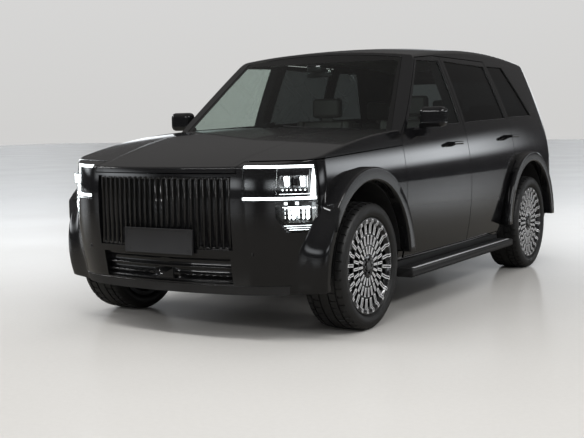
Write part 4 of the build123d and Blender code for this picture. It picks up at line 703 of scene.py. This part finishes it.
def on_flare(u, v):
    turn = between(BUMPER_FLARE_TURNS, u)
    inner, outer, edge_x = (between(ends, u) for ends in (BUMPER_FLARE_IN, BUMPER_FLARE_OUT, BUMPER_FLARE_X))
    radius = between((inner, outer), v)
    y, z = FRONT_AXLE_Y + radius * math.cos(turn), AXLE_Z + radius * math.sin(turn)
    fall = max(0.0, (v - BUMPER_FLARE_FLAT) / (1 - BUMPER_FLARE_FLAT))
    skin_x = wall_x(y, z) - BUMPER_FLARE_SUNK
    return Vector((between((edge_x, skin_x), fall * fall * (3 - 2 * fall)), y, z))


copy_of("arch_flares", [gloss_black], sharp=30.0)
bumper_flares = bmesh.new()
panel(bumper_flares, on_flare, (48, 20), -BUMPER_FLARE_THICK)
both_sides(bumper_flares)
add("bumper_flares", bumper_flares, "root", [gloss_black], 40.0)

# Grille and lower intake: moulded bars and slats in gloss black behind the bumper's openings. The
# blank plate carrier is a moulded tray, and four screws stand in its corners for a plate.
PLATE_FRONT_Y, PLATE_Z, PLATE_HALF, PLATE_HIGH, PLATE_THICK = -2.4837, 0.587, 0.25, 0.074, 0.014
TRAY_RIM, TRAY_EDGE, TRAY_DEEP, TRAY_ROUND = 0.007, 0.0015, 0.004, 0.0012
SCREW_X, SCREW_Y, SCREW_Z, SCREW_R, SCREW_LONG = 0.215, PLATE_FRONT_Y + 0.0045, 0.048, 0.0065, 0.006
FRONT_WALL, REAR_WALL = (PLAN[:3], -1), (PLAN[4:], 1)


def end_y(x, z, inset=0.0, wall=FRONT_WALL):
    """y of the body's front or rear wall, at an inset from its skin."""
    arcs, way = wall
    for centre, radius, first, last in arcs:
        reach = radius + section_r(z, inset)
        if abs(abs(x) - centre.x) < reach:
            y = centre.y + way * math.sqrt(reach ** 2 - (abs(x) - centre.x) ** 2)
            if first - BEARING_SLACK <= bearing(centre, Vector((abs(x), y))) <= last + BEARING_SLACK:
                return y
    raise ValueError("no wall there")


def side_x(y, z, inset=0.0):
    """x of the body's left side, at an inset from its skin."""
    return side_c.x + math.sqrt((SIDE_R + section_r(z, inset)) ** 2 - (y - side_c.y) ** 2)


carrier_surface = mottled((10.0, 3.0), (0.012, 0.012, 0.013), (0.020, 0.020, 0.021), (0.46, 0.12),
                          (500.0, 2.0, 0.0004))
carrier_grey = finish("carrier_grey", carrier_surface)
copy_of("grille", [gloss_black])
tray = bmesh.new()
block(tray, (-PLATE_HALF, PLATE_FRONT_Y, PLATE_Z - PLATE_HIGH),
      (PLATE_HALF, PLATE_FRONT_Y + PLATE_THICK, PLATE_Z + PLATE_HIGH))
front = [f for f in tray.faces if f.normal.y < -0.9]
bmesh.ops.inset_region(tray, faces=front, thickness=TRAY_RIM, depth=0)
bmesh.ops.inset_region(tray, faces=front, thickness=TRAY_EDGE, depth=-TRAY_DEEP)
rim_edges = [e for e in tray.edges
             if len({round(f.normal.y) for f in e.link_faces}) > 1 or e.calc_face_angle(0) > 1]
bmesh.ops.bevel(tray, geom=rim_edges, offset=TRAY_ROUND, segments=2, profile=0.5, affect="EDGES", material=-1)
for screw_x in (-SCREW_X, SCREW_X):
    for screw_z in (PLATE_Z - SCREW_Z, PLATE_Z + SCREW_Z):
        turned_back = Matrix.Translation((screw_x, SCREW_Y, screw_z)) @ Matrix.Rotation(math.pi / 2, 4, "X")
        disc(tray, turned_back, SCREW_R * 1.25, SCREW_LONG, 20, 1, 0.8)
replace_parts(add("plate_tray", tray, "root", [carrier_grey, satin_trim]),
            "plate_holder")

# Front lamps: a clear moulded cover over a dark housing. Inside are two thin light bars, a row of
# small lamps and two square projectors in bright bezels above, and a faceted reflector with a metal
# strip at its outer side below. The light parts shine, and most reflector facets glow: painted highlights.
PROJECTOR_Z, PROJECTOR_HALF, PROJECTOR_DEEP, BEZEL_WIDE = 0.935, 0.028, 0.02, 0.005
# Columns: middle x, width of each projector
PROJECTORS = ((0.770, 0.046), (0.838, 0.058))
DOT_COUNT, DOT_X, DOT_PITCH, DOT_Z, DOT_R = 6, 0.762, 0.019, 0.888, 0.0042
SPOT_XS, SPOT_HALF, SPOT_Z, SPOT_DEEP = (0.775, 0.824), 0.009, (0.803, 0.820), 0.012
# Columns: first and last x, z, inset of each bright slat
SLATS = ((0.748, 0.870, 0.866, 0.010), (0.790, 0.876, 0.662, 0.008), (0.7792, 0.876, 0.674, 0.008),
         (0.7684, 0.876, 0.686, 0.008))
FACET_X, FACET_Z, FACET_PITCH_X, FACET_PITCH_Z = 0.757, 0.700, 0.0195, 0.0235
FACET_WIDE, FACET_HIGH, FACET_DEEP, FACET_ROUND, UNLIT_FACET = 0.0185, 0.0220, 0.030, 0.0035, (3, 1)


def glowing(drift, off, on, dim, bright):
    """A surface that gives off light a little unevenly, with the scale and detail of its noise."""
    def surface(start, place):
        cell = start.noise(place, *drift)
        return {"Base Color": cell.colours(off, on), "Emission Color": cell.colours(dim, bright)}
    return surface


def glazing(name, tint, surface, limit=0.45):
    """Clear or tinted glass: see through face on, more of a mirror the more it is seen aslant."""
    made = finish(name, surface, Metallic=1.0)
    tree = made.node_tree
    start = Wire(tree)
    mirror = Wire(tree, tree.nodes["Principled BSDF"].outputs[0])
    slant = start.maths("MINIMUM", start.node("ShaderNodeFresnel", {}, {"IOR": 1.5}), limit)
    clear = start.node("ShaderNodeBsdfTransparent", {}, {"Color": tint})
    mixed = start.node("ShaderNodeMixShader", {}, {0: slant, 1: clear, 2: mirror})
    tree.links.new(mixed.socket, tree.nodes["Material Output"].inputs["Surface"])
    return made


mirror_surface = mottled((3.0, 3.0), (0.90, 0.91, 0.91), (0.97, 0.98, 0.98), (0.012, 0.02))
lit_surface = glowing((60.0, 1.0), (0.9, 0.93, 0.95), (0.98, 0.99, 1.0), (0.78, 0.88, 0.92), (1.0, 1.0, 1.0))
light = finish("lamp_light", lit_surface, Emission_Strength=5.0, Roughness=0.2)
dim_light = finish("lamp_light_dim", lit_surface, Emission_Strength=1.1, Roughness=0.15)
chrome = finish("lamp_chrome", mottled((30.0, 2.0), (0.68, 0.70, 0.71), (0.82, 0.84, 0.84), (0.08, 0.06)),
                Metallic=1.0)
lamp_cover = glazing("lamp_cover", (0.97, 0.98, 0.98, 1), mirror_surface)
see_through = glazing("glass_back", (1.0, 1.0, 1.0, 1), mirror_surface, 0.0)
copy_of("headlamps", [gloss_black])
give("light_bars", light)


def outer_glass(face, inner_share=0.35):
    """0 for a pane's outer face, 1 for its inner face and edges."""
    centre = face.calc_center_median()
    away = Vector((centre.x, centre.y - 0.2, centre.z - 0.9))
    return int(face.normal.dot(away.normalized()) < inner_share)


def wall_plate(shape, xs, zs, inset, steps, thick, material, wall=FRONT_WALL):
    """A thin plate along the body's front or rear wall, between two x and two heights."""
    def place(u, v):
        x, z = between(xs, u), between(zs, v)
        return Vector((x, end_y(x, z, inset, wall), z))
    panel(shape, place, steps, thick, material)


skin("headlamp_lenses", [lamp_cover, see_through], outer_glass)
lamps = bmesh.new()
for mid_x, wide in PROJECTORS:
    lamp_y, half = end_y(mid_x, PROJECTOR_Z, 0.012), wide / 2
    back_y = lamp_y + PROJECTOR_DEEP
    block(lamps, (mid_x - half, lamp_y, PROJECTOR_Z - PROJECTOR_HALF),
          (mid_x + half, back_y, PROJECTOR_Z + PROJECTOR_HALF), 0.006, 0)
    low_x, high_x = mid_x - half - BEZEL_WIDE, mid_x + half + BEZEL_WIDE
    low_z, high_z = (PROJECTOR_Z + way * (PROJECTOR_HALF + BEZEL_WIDE) for way in (-1, 1))
    for x0, x1, z0, z1 in ((low_x, low_x + BEZEL_WIDE, low_z, high_z),
                           (high_x - BEZEL_WIDE, high_x, low_z, high_z),
                           (low_x, high_x, low_z, low_z + BEZEL_WIDE),
                           (low_x, high_x, high_z - BEZEL_WIDE, high_z)):
        block(lamps, (x0, lamp_y - 0.003, z0), (x1, back_y, z1), 0.0015, 2)
for dot in range(DOT_COUNT):
    dot_x = DOT_X + dot * DOT_PITCH
    bmesh.ops.create_uvsphere(lamps, u_segments=12, v_segments=8, radius=DOT_R,
                              matrix=Matrix.Translation((dot_x, end_y(dot_x, DOT_Z, 0.012), DOT_Z)))
for first_x, last_x, slat_z, inset in SLATS:
    def on_slat(u, v):
        x = between((first_x, last_x), u)
        return Vector((x, end_y(x, slat_z, inset) + 0.020 * v, slat_z))
    panel(lamps, on_slat, (12, 2), 0.002, 2)
# All the facets but the one in the lower inner corner
for column, row in [(column, row) for column in range(6) for row in range(4)][1:]:
    low_x, low_z = FACET_X + column * FACET_PITCH_X, FACET_Z + row * FACET_PITCH_Z
    facet_y = end_y(low_x + 0.009, low_z + 0.011, 0.008 + 0.003 * ((column * 2 + row * 3) % 3))
    # Facets past the first row and column, but for one, glow with the lamp material as painted highlights on
    # the reflector; the others are chrome
    bright = column > 0 and row > 0 and (column, row) != UNLIT_FACET
    block(lamps, (low_x, facet_y, low_z), (low_x + FACET_WIDE, facet_y + FACET_DEEP, low_z + FACET_HIGH),
          FACET_ROUND, 0 if bright else 2, 1)
for zs in ((0.655, 0.786), (0.792, 0.817)):
    wall_plate(lamps, (0.886, 0.900), zs, 0.0075, (4, 6), 0.004, 2)
for spot_x in SPOT_XS:
    spot_y = end_y(spot_x, 0.812, 0.010)
    block(lamps, (spot_x - SPOT_HALF, spot_y, SPOT_Z[0]), (spot_x + SPOT_HALF, spot_y + SPOT_DEEP, SPOT_Z[1]),
          0.003, 1)
wall_plate(lamps, (0.5625, 0.7345), (0.849, 1.011), 0.0075, (14, 8), 0.003, 3)
both_sides(lamps)
add("lamp_insides", lamps, "root", [light, dim_light, chrome, gloss_black])

# Windows: curved sheets of glass, the windshield laminated and the rest toughened. The front ones
# are nearly clear with a green tinge, those behind the front doors are dark privacy glass. A black
# enamel border is fired on the edges of the windshield and of the rear window.
BORDER, BORDER_FOOT, BORDER_HEAD = 0.038, 1.7, 1.6
clear_glass = glazing("clear_glass", (0.80, 0.88, 0.84, 1), mirror_surface)
privacy_glass = glazing("privacy_glass", (0.055, 0.060, 0.062, 1), mirror_surface)
enamel = finish("black_enamel", mottled((8.0, 3.0), (0.004, 0.004, 0.004), (0.007, 0.007, 0.007),
                                        (0.05, 0.05)))
# Columns: pane, half its width and z at the foot, half its width and z at the top, its glass
BORDERED = (("windshield", 0.862, 1.150, 0.655, 1.762, clear_glass),
            ("tailgate_glass", 0.630, 1.290, 0.510, 1.690, privacy_glass))


def border(half_low, low, half_high, high):
    """The planes where a pane's black border ends: two sides, the bottom and the top."""
    lean = math.atan2(half_low - half_high, high - low)
    planes = [((side * (half_low - BORDER), 0, low), (side * math.cos(lean), 0, math.sin(lean)))
              for side in (-1, 1)]
    return planes + [((0, 0, low + BORDER_FOOT * BORDER), (0, 0, -1)),
                     ((0, 0, high - BORDER_HEAD * BORDER), (0, 0, 1))]


def pane(node, glass, planes):
    def choose(face):
        centre = face.calc_center_median()
        if outer_glass(face):
            return 1
        return 2 if any((centre - Vector(p)).dot(Vector(n)) > 0 for p, n in planes) else 0
    skin(node, [glass, see_through, enamel], choose, planes)


for node, half_low, low, half_high, high, glass in BORDERED:
    pane(node, glass, border(half_low, low, half_high, high))
for node, glass in (("window_fl", clear_glass), ("window_fr", clear_glass), ("window_rl", privacy_glass),
                    ("window_rr", privacy_glass), ("quarter_glass", privacy_glass)):
    pane(node, glass, [])
# Outlines of the side windows as (y behind the front axle, z): front door, rear door, quarter
WINDOWS = {"f": ((0.704, 1.216), (1.250, 1.700), (1.652, 1.712), (1.652, 1.246)),
           "r": ((1.750, 1.249), (1.750, 1.714), (2.622, 1.704), (2.702, 1.277)),
           "q": ((2.790, 1.285), (2.704, 1.712), (3.110, 1.716), (3.470, 1.300))}
SEAL_R, SEAL_INSET, SEAL_STEP = 0.0045, 0.0085, 0.06
SIDES = (("l", 1), ("r", -1))


def strand(name, paths, radius, body, materials, closed=False):
    """Round strands along lists of points, with filled ends, made into one mesh."""
    line = bpy.data.curves.new(name, "CURVE")
    line.dimensions, line.bevel_depth, line.bevel_resolution, line.use_fill_caps = "3D", radius, 3, True
    for path in paths:
        spline = line.splines.new("POLY")
        spline.points.add(len(path) - 1)
        spline.use_cyclic_u = closed
        for point, place in zip(spline.points, path):
            point.co = (*place, 1)
    holder = bpy.data.objects.new(name, line)
    shape = bmesh.new()
    shape.from_mesh(holder.to_mesh())
    bpy.data.objects.remove(holder)
    add(name, shape, body, materials, 50.0)


def side_loop(outline, side):
    """The outline on the body's side, with points between its corners so that it follows the curve."""
    points = []
    for a, b in zip(outline, outline[1:] + outline[:1]):
        a, b = Vector(a), Vector(b)
        count = max(1, math.ceil((b - a).length / SEAL_STEP))
        points += [a + (b - a) * i / count for i in range(count)]
    return [(side * side_x(FRONT_AXLE_Y + y, z, SEAL_INSET), FRONT_AXLE_Y + y, z) for y, z in points]


for name, side in SIDES:
    for window, outline in WINDOWS.items():
        strand(f"seal_{window}{name}", [side_loop(outline, side)], SEAL_R,
               "root" if window == "q" else f"door_{window}{name}", [rubber], True)

# Wipers: pressed steel arms and rubber blades parked at the foot of the windshield, and a smaller
# one on the rear window. Each arm rises from its spindle and bears on the middle of its blade.
wiper_black = finish("wiper_black", carrier_surface)
# Columns: spindle x and slope, blade's inner and outer end as x and slope
WIPERS = ((0.640, -0.030, 0.060, 0.060, 0.700, 0.022), (-0.060, -0.030, -0.640, 0.062, -0.020, 0.030))
WIPER_ARM_R, WIPER_BLADE_R, REAR_BLADE_R, BLADE_STEPS = 0.0055, 0.0050, 0.0040, 14
# Columns: x, z and lift off the glass of each point of the rear arm
REAR_ARM = ((0, 1.300, 0.002), (0, 1.300, 0.006), (0.06, 1.305, 0.0085), (0.20, 1.316, 0.0085),
            (0.20, 1.318, 0.005))


def on_screen(x, s, lift):
    """Point on the windshield, s metres up its slope from the foot line."""
    up = Vector((0, math.cos(SCREEN_TILT), math.sin(SCREEN_TILT)))
    into = Vector((0, math.sin(SCREEN_TILT), -math.cos(SCREEN_TILT)))
    out = SCREEN_R - math.sqrt((SCREEN_R + lift) ** 2 - x * x)
    return SCREEN_FOOT + up * s + into * out + Vector((x, 0, 0))


def on_tail(x, z, lift):
    return Vector((x, end_y(x, z, 0.010 - lift, REAR_WALL), z))


arms, blades = [], []
for spin_x, spin_s, x0, s0, x1, s1 in WIPERS:
    middle = ((x0 + x1) / 2, (s0 + s1) / 2)
    arms.append([on_screen(spin_x, spin_s, 0.006), on_screen(spin_x, spin_s, 0.024),
                 on_screen(between((spin_x, middle[0]), 0.25), between((spin_s, middle[1]), 0.25), 0.030),
                 on_screen(*middle, 0.022), on_screen(*middle, 0.012)])
    blades.append([on_screen(between((x0, x1), i / BLADE_STEPS), between((s0, s1), i / BLADE_STEPS), 0.007)
                   for i in range(BLADE_STEPS + 1)])
strand("wiper_arms", arms, WIPER_ARM_R, "root", [wiper_black])
strand("wiper_blades", blades, WIPER_BLADE_R, "root", [rubber])
strand("rear_wiper", [[on_tail(*point) for point in REAR_ARM]], WIPER_BLADE_R, "tailgate", [wiper_black])
rear_blade = [on_tail(0.02 + 0.36 * i / 12, 1.314 + 0.012 * i / 12, 0.0048) for i in range(13)]
strand("rear_wiper_blade", [rear_blade], REAR_BLADE_R, "tailgate", [rubber])

# Door mirrors and parking sensors: mirror glass in a moulded rim, and round plastic sensors set in
# the bumpers. The mirrors' shells and the door handles are painted with the doors.
mirror_glass = finish("mirror_glass", mirror_surface, Metallic=1.0)
# Columns: two corners, rounding, material, for the rim and then the glass of the left mirror
MIRROR_BLOCKS = (((0.985, -0.778, 1.240), (1.106, -0.7715, 1.343), 0.003, 1),
                 ((0.990, -0.7745, 1.245), (1.101, -0.7702, 1.338), 0.001, 0))
# Columns: wall, z of the sensors on it, their x
SENSORS = ((FRONT_WALL, 0.524, (0.16, 0.60, 0.86)), (REAR_WALL, 0.505, (0.16, 0.60, 0.80)))
SENSOR_R, SENSOR_THICK = 0.011, 0.003


def blocks(shape, rows):
    for row in rows:
        block(shape, *row)


for name, side in SIDES:
    mirror = bmesh.new()
    blocks(mirror, MIRROR_BLOCKS)
    if side < 0:
        bmesh.ops.scale(mirror, verts=mirror.verts, vec=(-1, 1, 1))
    add(f"mirror_glass_{name}", mirror, f"door_f{name}", [mirror_glass, satin_trim])
sensors = bmesh.new()
for wall, sensor_z, sensor_xs in SENSORS:
    for x in sensor_xs:
        y = end_y(x, sensor_z, 0.0, wall)
        off = (end_y(x + 0.01, sensor_z, 0.0, wall) - y) / 0.01
        facing = Vector((-off, wall[1], 0)).normalized()
        matrix = Matrix.Translation((x, y, sensor_z)) @ facing.to_track_quat("Z", "Y").to_matrix().to_4x4()
        disc(sensors, matrix, SENSOR_R, SENSOR_THICK, 24, 0, 0.86)
both_sides(sensors)
add("parking_sensors", sensors, "root", [satin_trim])

# Bumper moulding: a thin strip of gloss black plastic, clipped in round the front bumper where the
# satin lip begins.
MOULDING_HALF, MOULDING_R, MOULDING_STEPS = 0.872, 0.0024, 60
moulding_xs = [between((-MOULDING_HALF, MOULDING_HALF), i / MOULDING_STEPS)
               for i in range(MOULDING_STEPS + 1)]
strand("bumper_moulding", [[(x, end_y(x, LIP_TOP_Z, -0.0005), LIP_TOP_Z) for x in moulding_xs]], MOULDING_R,
       "root", [gloss_black])

# Tail: red lamps behind smooth lenses at the corners, with lit strips and a clear reverse lamp, a
# satin skirt with reflectors and two exhaust trims under the bumper, and a blank plate carrier
# and a handle on the tailgate.
SKIRT_TOP_Z = 0.43
# Columns: lower and upper z of each strip over the lens, material
TAIL_STRIPS = ((1.084, 1.094, 0), (0.886, 0.896, 0), (0.955, 0.990, 1), (0.870, 0.874, 2), (1.108, 1.112, 2))
TIP_XS, TIP_Y, TIP_Z = (0.52, 0.60), 2.385, 0.326
TIP_R, TIP_LONG, TIP_WALL, TIP_DEEP = 0.034, 0.085, 0.003, 0.070
red_lens_base = mottled((14.0, 2.0), (0.085, 0.003, 0.004), (0.16, 0.006, 0.008), (0.06, 0.06))
red_lit_surface = glowing((60.0, 1.0), (0.5, 0.02, 0.02), (0.7, 0.03, 0.03), (0.75, 0.015, 0.015),
                          (1.0, 0.03, 0.03))


def lens_surface(start, place):
    """Clear red plastic, moulded with fine level ribs."""
    look = red_lens_base(start, place)
    look["Normal"] = start.bump(start.maths("SINE", start.axes(place)[2] * 420.0), 0.0006)
    return look


def skirt_below(face):
    return int(face.calc_center_median().z < SKIRT_TOP_Z)


red_lens = finish("red_lens", lens_surface, Coat_Weight=1.0, Coat_Roughness=0.02)
red_light = finish("red_light", red_lit_surface, Emission_Strength=1.2, Roughness=0.15)
skin("tail_lamps", [red_lens])
tail_parts = bmesh.new()
for low_z, high_z, kind in TAIL_STRIPS:
    wall_plate(tail_parts, (0.742, 0.877), (low_z, high_z), 0.0006, (16, 3), 0.003, kind, REAR_WALL)
both_sides(tail_parts)
add("tail_lamp_strips", tail_parts, "root", [red_light, dim_light, chrome])
skin("rear_bumper", [paint, satin_trim], skirt_below, [((0, 0, SKIRT_TOP_Z), (0, 0, 1))])
rear_bits = bmesh.new()
wall_plate(rear_bits, (0.56, 0.76), (0.475, 0.497), -0.0012, (14, 3), 0.003, 0, REAR_WALL)
for tip_x in TIP_XS:
    turned_back = Matrix.Translation((tip_x, TIP_Y, TIP_Z)) @ Matrix.Rotation(math.pi / 2, 4, "X")
    tip = disc(rear_bits, turned_back, TIP_R, TIP_LONG, 36, 1)
    ends = [f for f in faces_of(tip) if len(f.verts) > 4 and f.calc_center_median().y > TIP_Y]
    bmesh.ops.inset_region(rear_bits, faces=ends, thickness=TIP_WALL, depth=0)
    bmesh.ops.inset_region(rear_bits, faces=ends, thickness=0.001, depth=-TIP_DEEP)
    for face in ends:
        face.material_index = 2
both_sides(rear_bits)
add("rear_bits", rear_bits, "root", [red_lens, machined, slot_black])
tail_plate = bmesh.new()
plate_y = end_y(0.25, 0.84, 0.0, REAR_WALL)
block(tail_plate, (-0.262, plate_y - 0.012, 0.775), (0.262, plate_y + 0.012, 0.905), 0.003, 0)
block(tail_plate, (-0.330, plate_y - 0.012, 0.925), (0.330, plate_y + 0.016, 0.955), 0.006, 1)
for lamp_x in (-0.12, 0.12):
    block(tail_plate, (lamp_x - 0.03, plate_y - 0.004, 0.919), (lamp_x + 0.03, plate_y + 0.012, 0.927),
          0.001, 2)
add("tailgate_carrier", tail_plate, "tailgate", [carrier_grey, gloss_black, dim_light])

# Cabin: leather seats of foam pads, a moulded dashboard with a wide screen, air vents, a console
# and pedals, door cards with armrests, a woven headliner, carpet and an inner mirror.
SEAT_GAP, WING_WIDE, CUSHION_LONG, CUSHION_THICK, BACK_LEAN, BACK_PADS = 0.004, 0.062, 0.440, 0.110, 0.130, 3
# Columns: name, middles of the places, width of a place, front y, cushion top z, back top z
SEAT_ROWS = (("front", (-0.385, 0.385), 0.50, -0.350, 0.690, 1.280),
             ("second", (-0.363, 0.0, 0.363), 0.363, 0.520, 0.700, 1.260),
             ("third", (-0.255, 0.255), 0.510, 1.380, 0.720, 1.220))


def cloth_surface(start, place):
    weave = start.noise(place, 900.0, 2.0)
    cloud = start.noise(place, 4.0, 2.0)
    return {"Base Color": (weave * 0.5 + cloud * 0.5).colours((0.33, 0.32, 0.30), (0.46, 0.45, 0.43)),
            "Roughness": 0.85 + cloud * 0.1,
            "Normal": start.bump(weave, 0.0008)}


leather = finish("seat_leather", mottled((5.0, 3.0), (0.030, 0.027, 0.025), (0.055, 0.050, 0.046),
                                         (0.40, 0.18), (330.0, 3.0, 0.0006)))
headliner_cloth = finish("headliner_cloth", cloth_surface)
carpet = finish("carpet", mottled((500.0, 3.0), (0.018, 0.018, 0.019), (0.045, 0.044, 0.043),
                                  (0.9, 0.08), (500.0, 3.0, 0.002)))
dash_plastic = finish("dash_plastic", mottled((6.0, 2.0), (0.022, 0.022, 0.023), (0.036, 0.036, 0.037),
                                              (0.55, 0.15), (600.0, 3.0, 0.0006)))
display = finish("display", glowing((16.0, 2.0), (0.004, 0.005, 0.008), (0.010, 0.014, 0.020),
                                    (0.01, 0.02, 0.04), (0.05, 0.10, 0.16)),
                 Roughness=0.05, Emission_Strength=0.6)
give("dashboard", dash_plastic)
copy_of("steering_wheel", [leather])


def seat_pads(middles, wide, front_y, cushion_z, back_z):
    """Cushions between wings, and backs of three pads between wings, which lean back as one."""
    shape = bmesh.new()
    half = wide / 2 - SEAT_GAP
    flat = half - WING_WIDE
    foot_y = front_y + CUSHION_LONG
    low_z = cushion_z - CUSHION_THICK
    lean = math.atan2(BACK_LEAN, back_z - cushion_z + 0.06)
    length = (back_z - cushion_z) / math.cos(lean)
    pad_long = (length - 0.03) / BACK_PADS
    for mid_x in middles:
        wings = [sorted((mid_x + side * (flat - SEAT_GAP), mid_x + side * half)) for side in (-1, 1)]
        block(shape, (mid_x - flat, front_y - 0.004, low_z), (mid_x + flat, foot_y, cushion_z + 0.010),
              0.026, 0, 4)
        for near, far in wings:
            block(shape, (near, front_y, low_z), (far, foot_y, cushion_z + 0.028), 0.027, 0, 4)
        before = set(shape.verts)
        for pad in range(BACK_PADS):
            block(shape, (mid_x - flat, -0.016, pad * pad_long + 0.03),
                  (mid_x + flat, 0.060, (pad + 1) * pad_long + 0.026), 0.020, 0, 3)
        for near, far in wings:
            block(shape, (near, -0.034, 0.03), (far, 0.060, length), 0.026, 0, 4)
        back = [v for v in shape.verts if v not in before]
        bmesh.ops.rotate(shape, cent=(0, 0, 0), verts=back, matrix=Matrix.Rotation(-lean, 3, "X"))
        bmesh.ops.translate(shape, verts=back, vec=(0, foot_y + 0.012, cushion_z))
    return shape


for name, middles, wide, front_y, cushion_z, back_z in SEAT_ROWS:
    pads = add(f"seat_pads_{name}", seat_pads(middles, wide, front_y, cushion_z, back_z), "root", [leather],
               60.0)
for node in ("front_seats", "rear_seats"):
    give(node, leather)
# Columns: two corners, rounding, material, steps in the rounding. The rows are the screen's case, the
# screen, the console's top, the gear lever, the armrest, and two plates and stalks of the pedals.
DASH_BLOCKS = [((-0.30, -0.665, 1.020), (0.60, -0.652, 1.135), 0.006, 1),
               ((-0.292, -0.6535, 1.027), (0.592, -0.6508, 1.128), 0.001, 2),
               ((-0.10, -0.56, 0.716), (0.10, 0.10, 0.726), 0.004, 1),
               ((-0.035, -0.42, 0.722), (0.035, -0.34, 0.775), 0.016, 3, 3),
               ((-0.125, -0.10, 0.700), (0.125, 0.21, 0.760), 0.024, 0, 4)]
DASH_BLOCKS += [((x - 0.035, -1.00, 0.44), (x + 0.035, -0.985, 0.56), 0.004, 3) for x in (0.31, 0.44)]
DASH_BLOCKS += [((x - 0.008, -1.05, 0.54), (x + 0.008, -0.99, 0.60), 0.002, 3) for x in (0.31, 0.44)]
VENT_XS, VENT_HALF, VENT_SLATS, VENT_PITCH = (-0.66, -0.46, 0.70), 0.065, 4, 0.0065
CUP_X, CUP_Y, CUP_Z, CUP_R = 0.045, -0.22, 0.727, 0.036
dash_bits = bmesh.new()
blocks(dash_bits, DASH_BLOCKS)
for vent_x in VENT_XS:
    block(dash_bits, (vent_x - VENT_HALF, -0.668, 0.985), (vent_x + VENT_HALF, -0.650, 1.015), 0.003, 1)
    for slat in range(VENT_SLATS):
        slat_z = 0.989 + slat * VENT_PITCH
        block(dash_bits, (vent_x - VENT_HALF + 0.005, -0.652, slat_z),
              (vent_x + VENT_HALF - 0.005, -0.647, slat_z + 0.002), 0.0005, 3)
for cup_x in (-CUP_X, CUP_X):
    disc(dash_bits, Matrix.Translation((cup_x, CUP_Y, CUP_Z)), CUP_R, 0.006, 28)
add("dash_fittings", dash_bits, "root", [leather, gloss_black, display, machined])
ROOF_PEAK_Y, ROOF_PEAK_Z, ROOF_LONG_R, ROOF_CROWN_R = CROWNS[1]
LINING_X, LINING_Y, LINING_DROP = (-0.57, 0.57), (-0.30, 2.00), 0.058


def on_lining(u, v):
    x, y = between(LINING_X, u), between(LINING_Y, v)
    across_roof = ROOF_CROWN_R - math.sqrt(ROOF_CROWN_R ** 2 - x * x)
    along_roof = ROOF_LONG_R - math.sqrt(ROOF_LONG_R ** 2 - (y - ROOF_PEAK_Y) ** 2)
    return Vector((x, y, ROOF_PEAK_Z - across_roof - along_roof - LINING_DROP))


lining, floor_mat, inside = bmesh.new(), bmesh.new(), bmesh.new()
panel(lining, on_lining, (16, 24), 0.008)
add("headliner", lining, "root", [headliner_cloth])
blocks(floor_mat, (((-0.76, -1.03, 0.3665), (0.76, 0.78, 0.376), 0.003),
                   ((-0.52, 0.78, 0.3665), (0.52, 2.28, 0.376), 0.003)))
add("carpet", floor_mat, "root", [carpet])
blocks(inside, (((-0.105, -0.535, 1.600), (0.105, -0.508, 1.660), 0.010, 0, 3),
                ((-0.095, -0.510, 1.607), (0.095, -0.5065, 1.653), 0.001, 1),
                ((-0.060, -0.610, 1.640), (0.060, -0.520, 1.690), 0.008, 0, 3)))
add("inner_mirror", inside, "root", [gloss_black, mirror_glass])
CARD_INSET, CARD_LOW_Z, CARD_HIGH_Z = 0.083, 0.49, 1.16
SPEAKER_R, SPEAKER_TAPER = 0.085, 0.080 / 0.085
# Columns: which door, its card's first and last y behind the front axle
CARDS = (("f", 0.72, 1.62), ("r", 1.775, 2.36))


def card_shape(front_y, rear_y, side):
    """Door card, armrest, handle and loudspeaker."""
    shape = bmesh.new()
    long, high = rear_y - front_y, CARD_HIGH_Z - CARD_LOW_Z

    def on_card(u, v):
        y, z = front_y + long * u, CARD_LOW_Z + high * v
        return Vector((side_x(y, z, CARD_INSET), y, z))
    panel(shape, on_card, (16, 12), 0.010)
    mid_z = CARD_LOW_Z + 0.56 * high
    x = side_x((front_y + rear_y) / 2, mid_z, CARD_INSET)
    block(shape, (x - 0.055, front_y + 0.22 * long, mid_z - 0.03),
          (x - 0.006, rear_y - 0.10 * long, mid_z + 0.022), 0.018, 1, 3)
    block(shape, (x - 0.020, front_y + 0.30 * long, mid_z + 0.16),
          (x - 0.006, front_y + 0.44 * long, mid_z + 0.185), 0.004, 2)
    place = Matrix.Translation((x - 0.008, front_y + 0.20 * long, CARD_LOW_Z + 0.14))
    disc(shape, place @ Matrix.Rotation(math.pi / 2, 4, "Y"), SPEAKER_R, 0.014, 36, 3, SPEAKER_TAPER)
    if side < 0:
        bmesh.ops.scale(shape, verts=shape.verts, vec=(-1, 1, 1))
    return shape


for name, side in SIDES:
    for end, front_y, rear_y in CARDS:
        add(f"card_{end}{name}", card_shape(FRONT_AXLE_Y + front_y, FRONT_AXLE_Y + rear_y, side),
            f"door_{end}{name}", [dash_plastic, leather, machined, satin_trim])
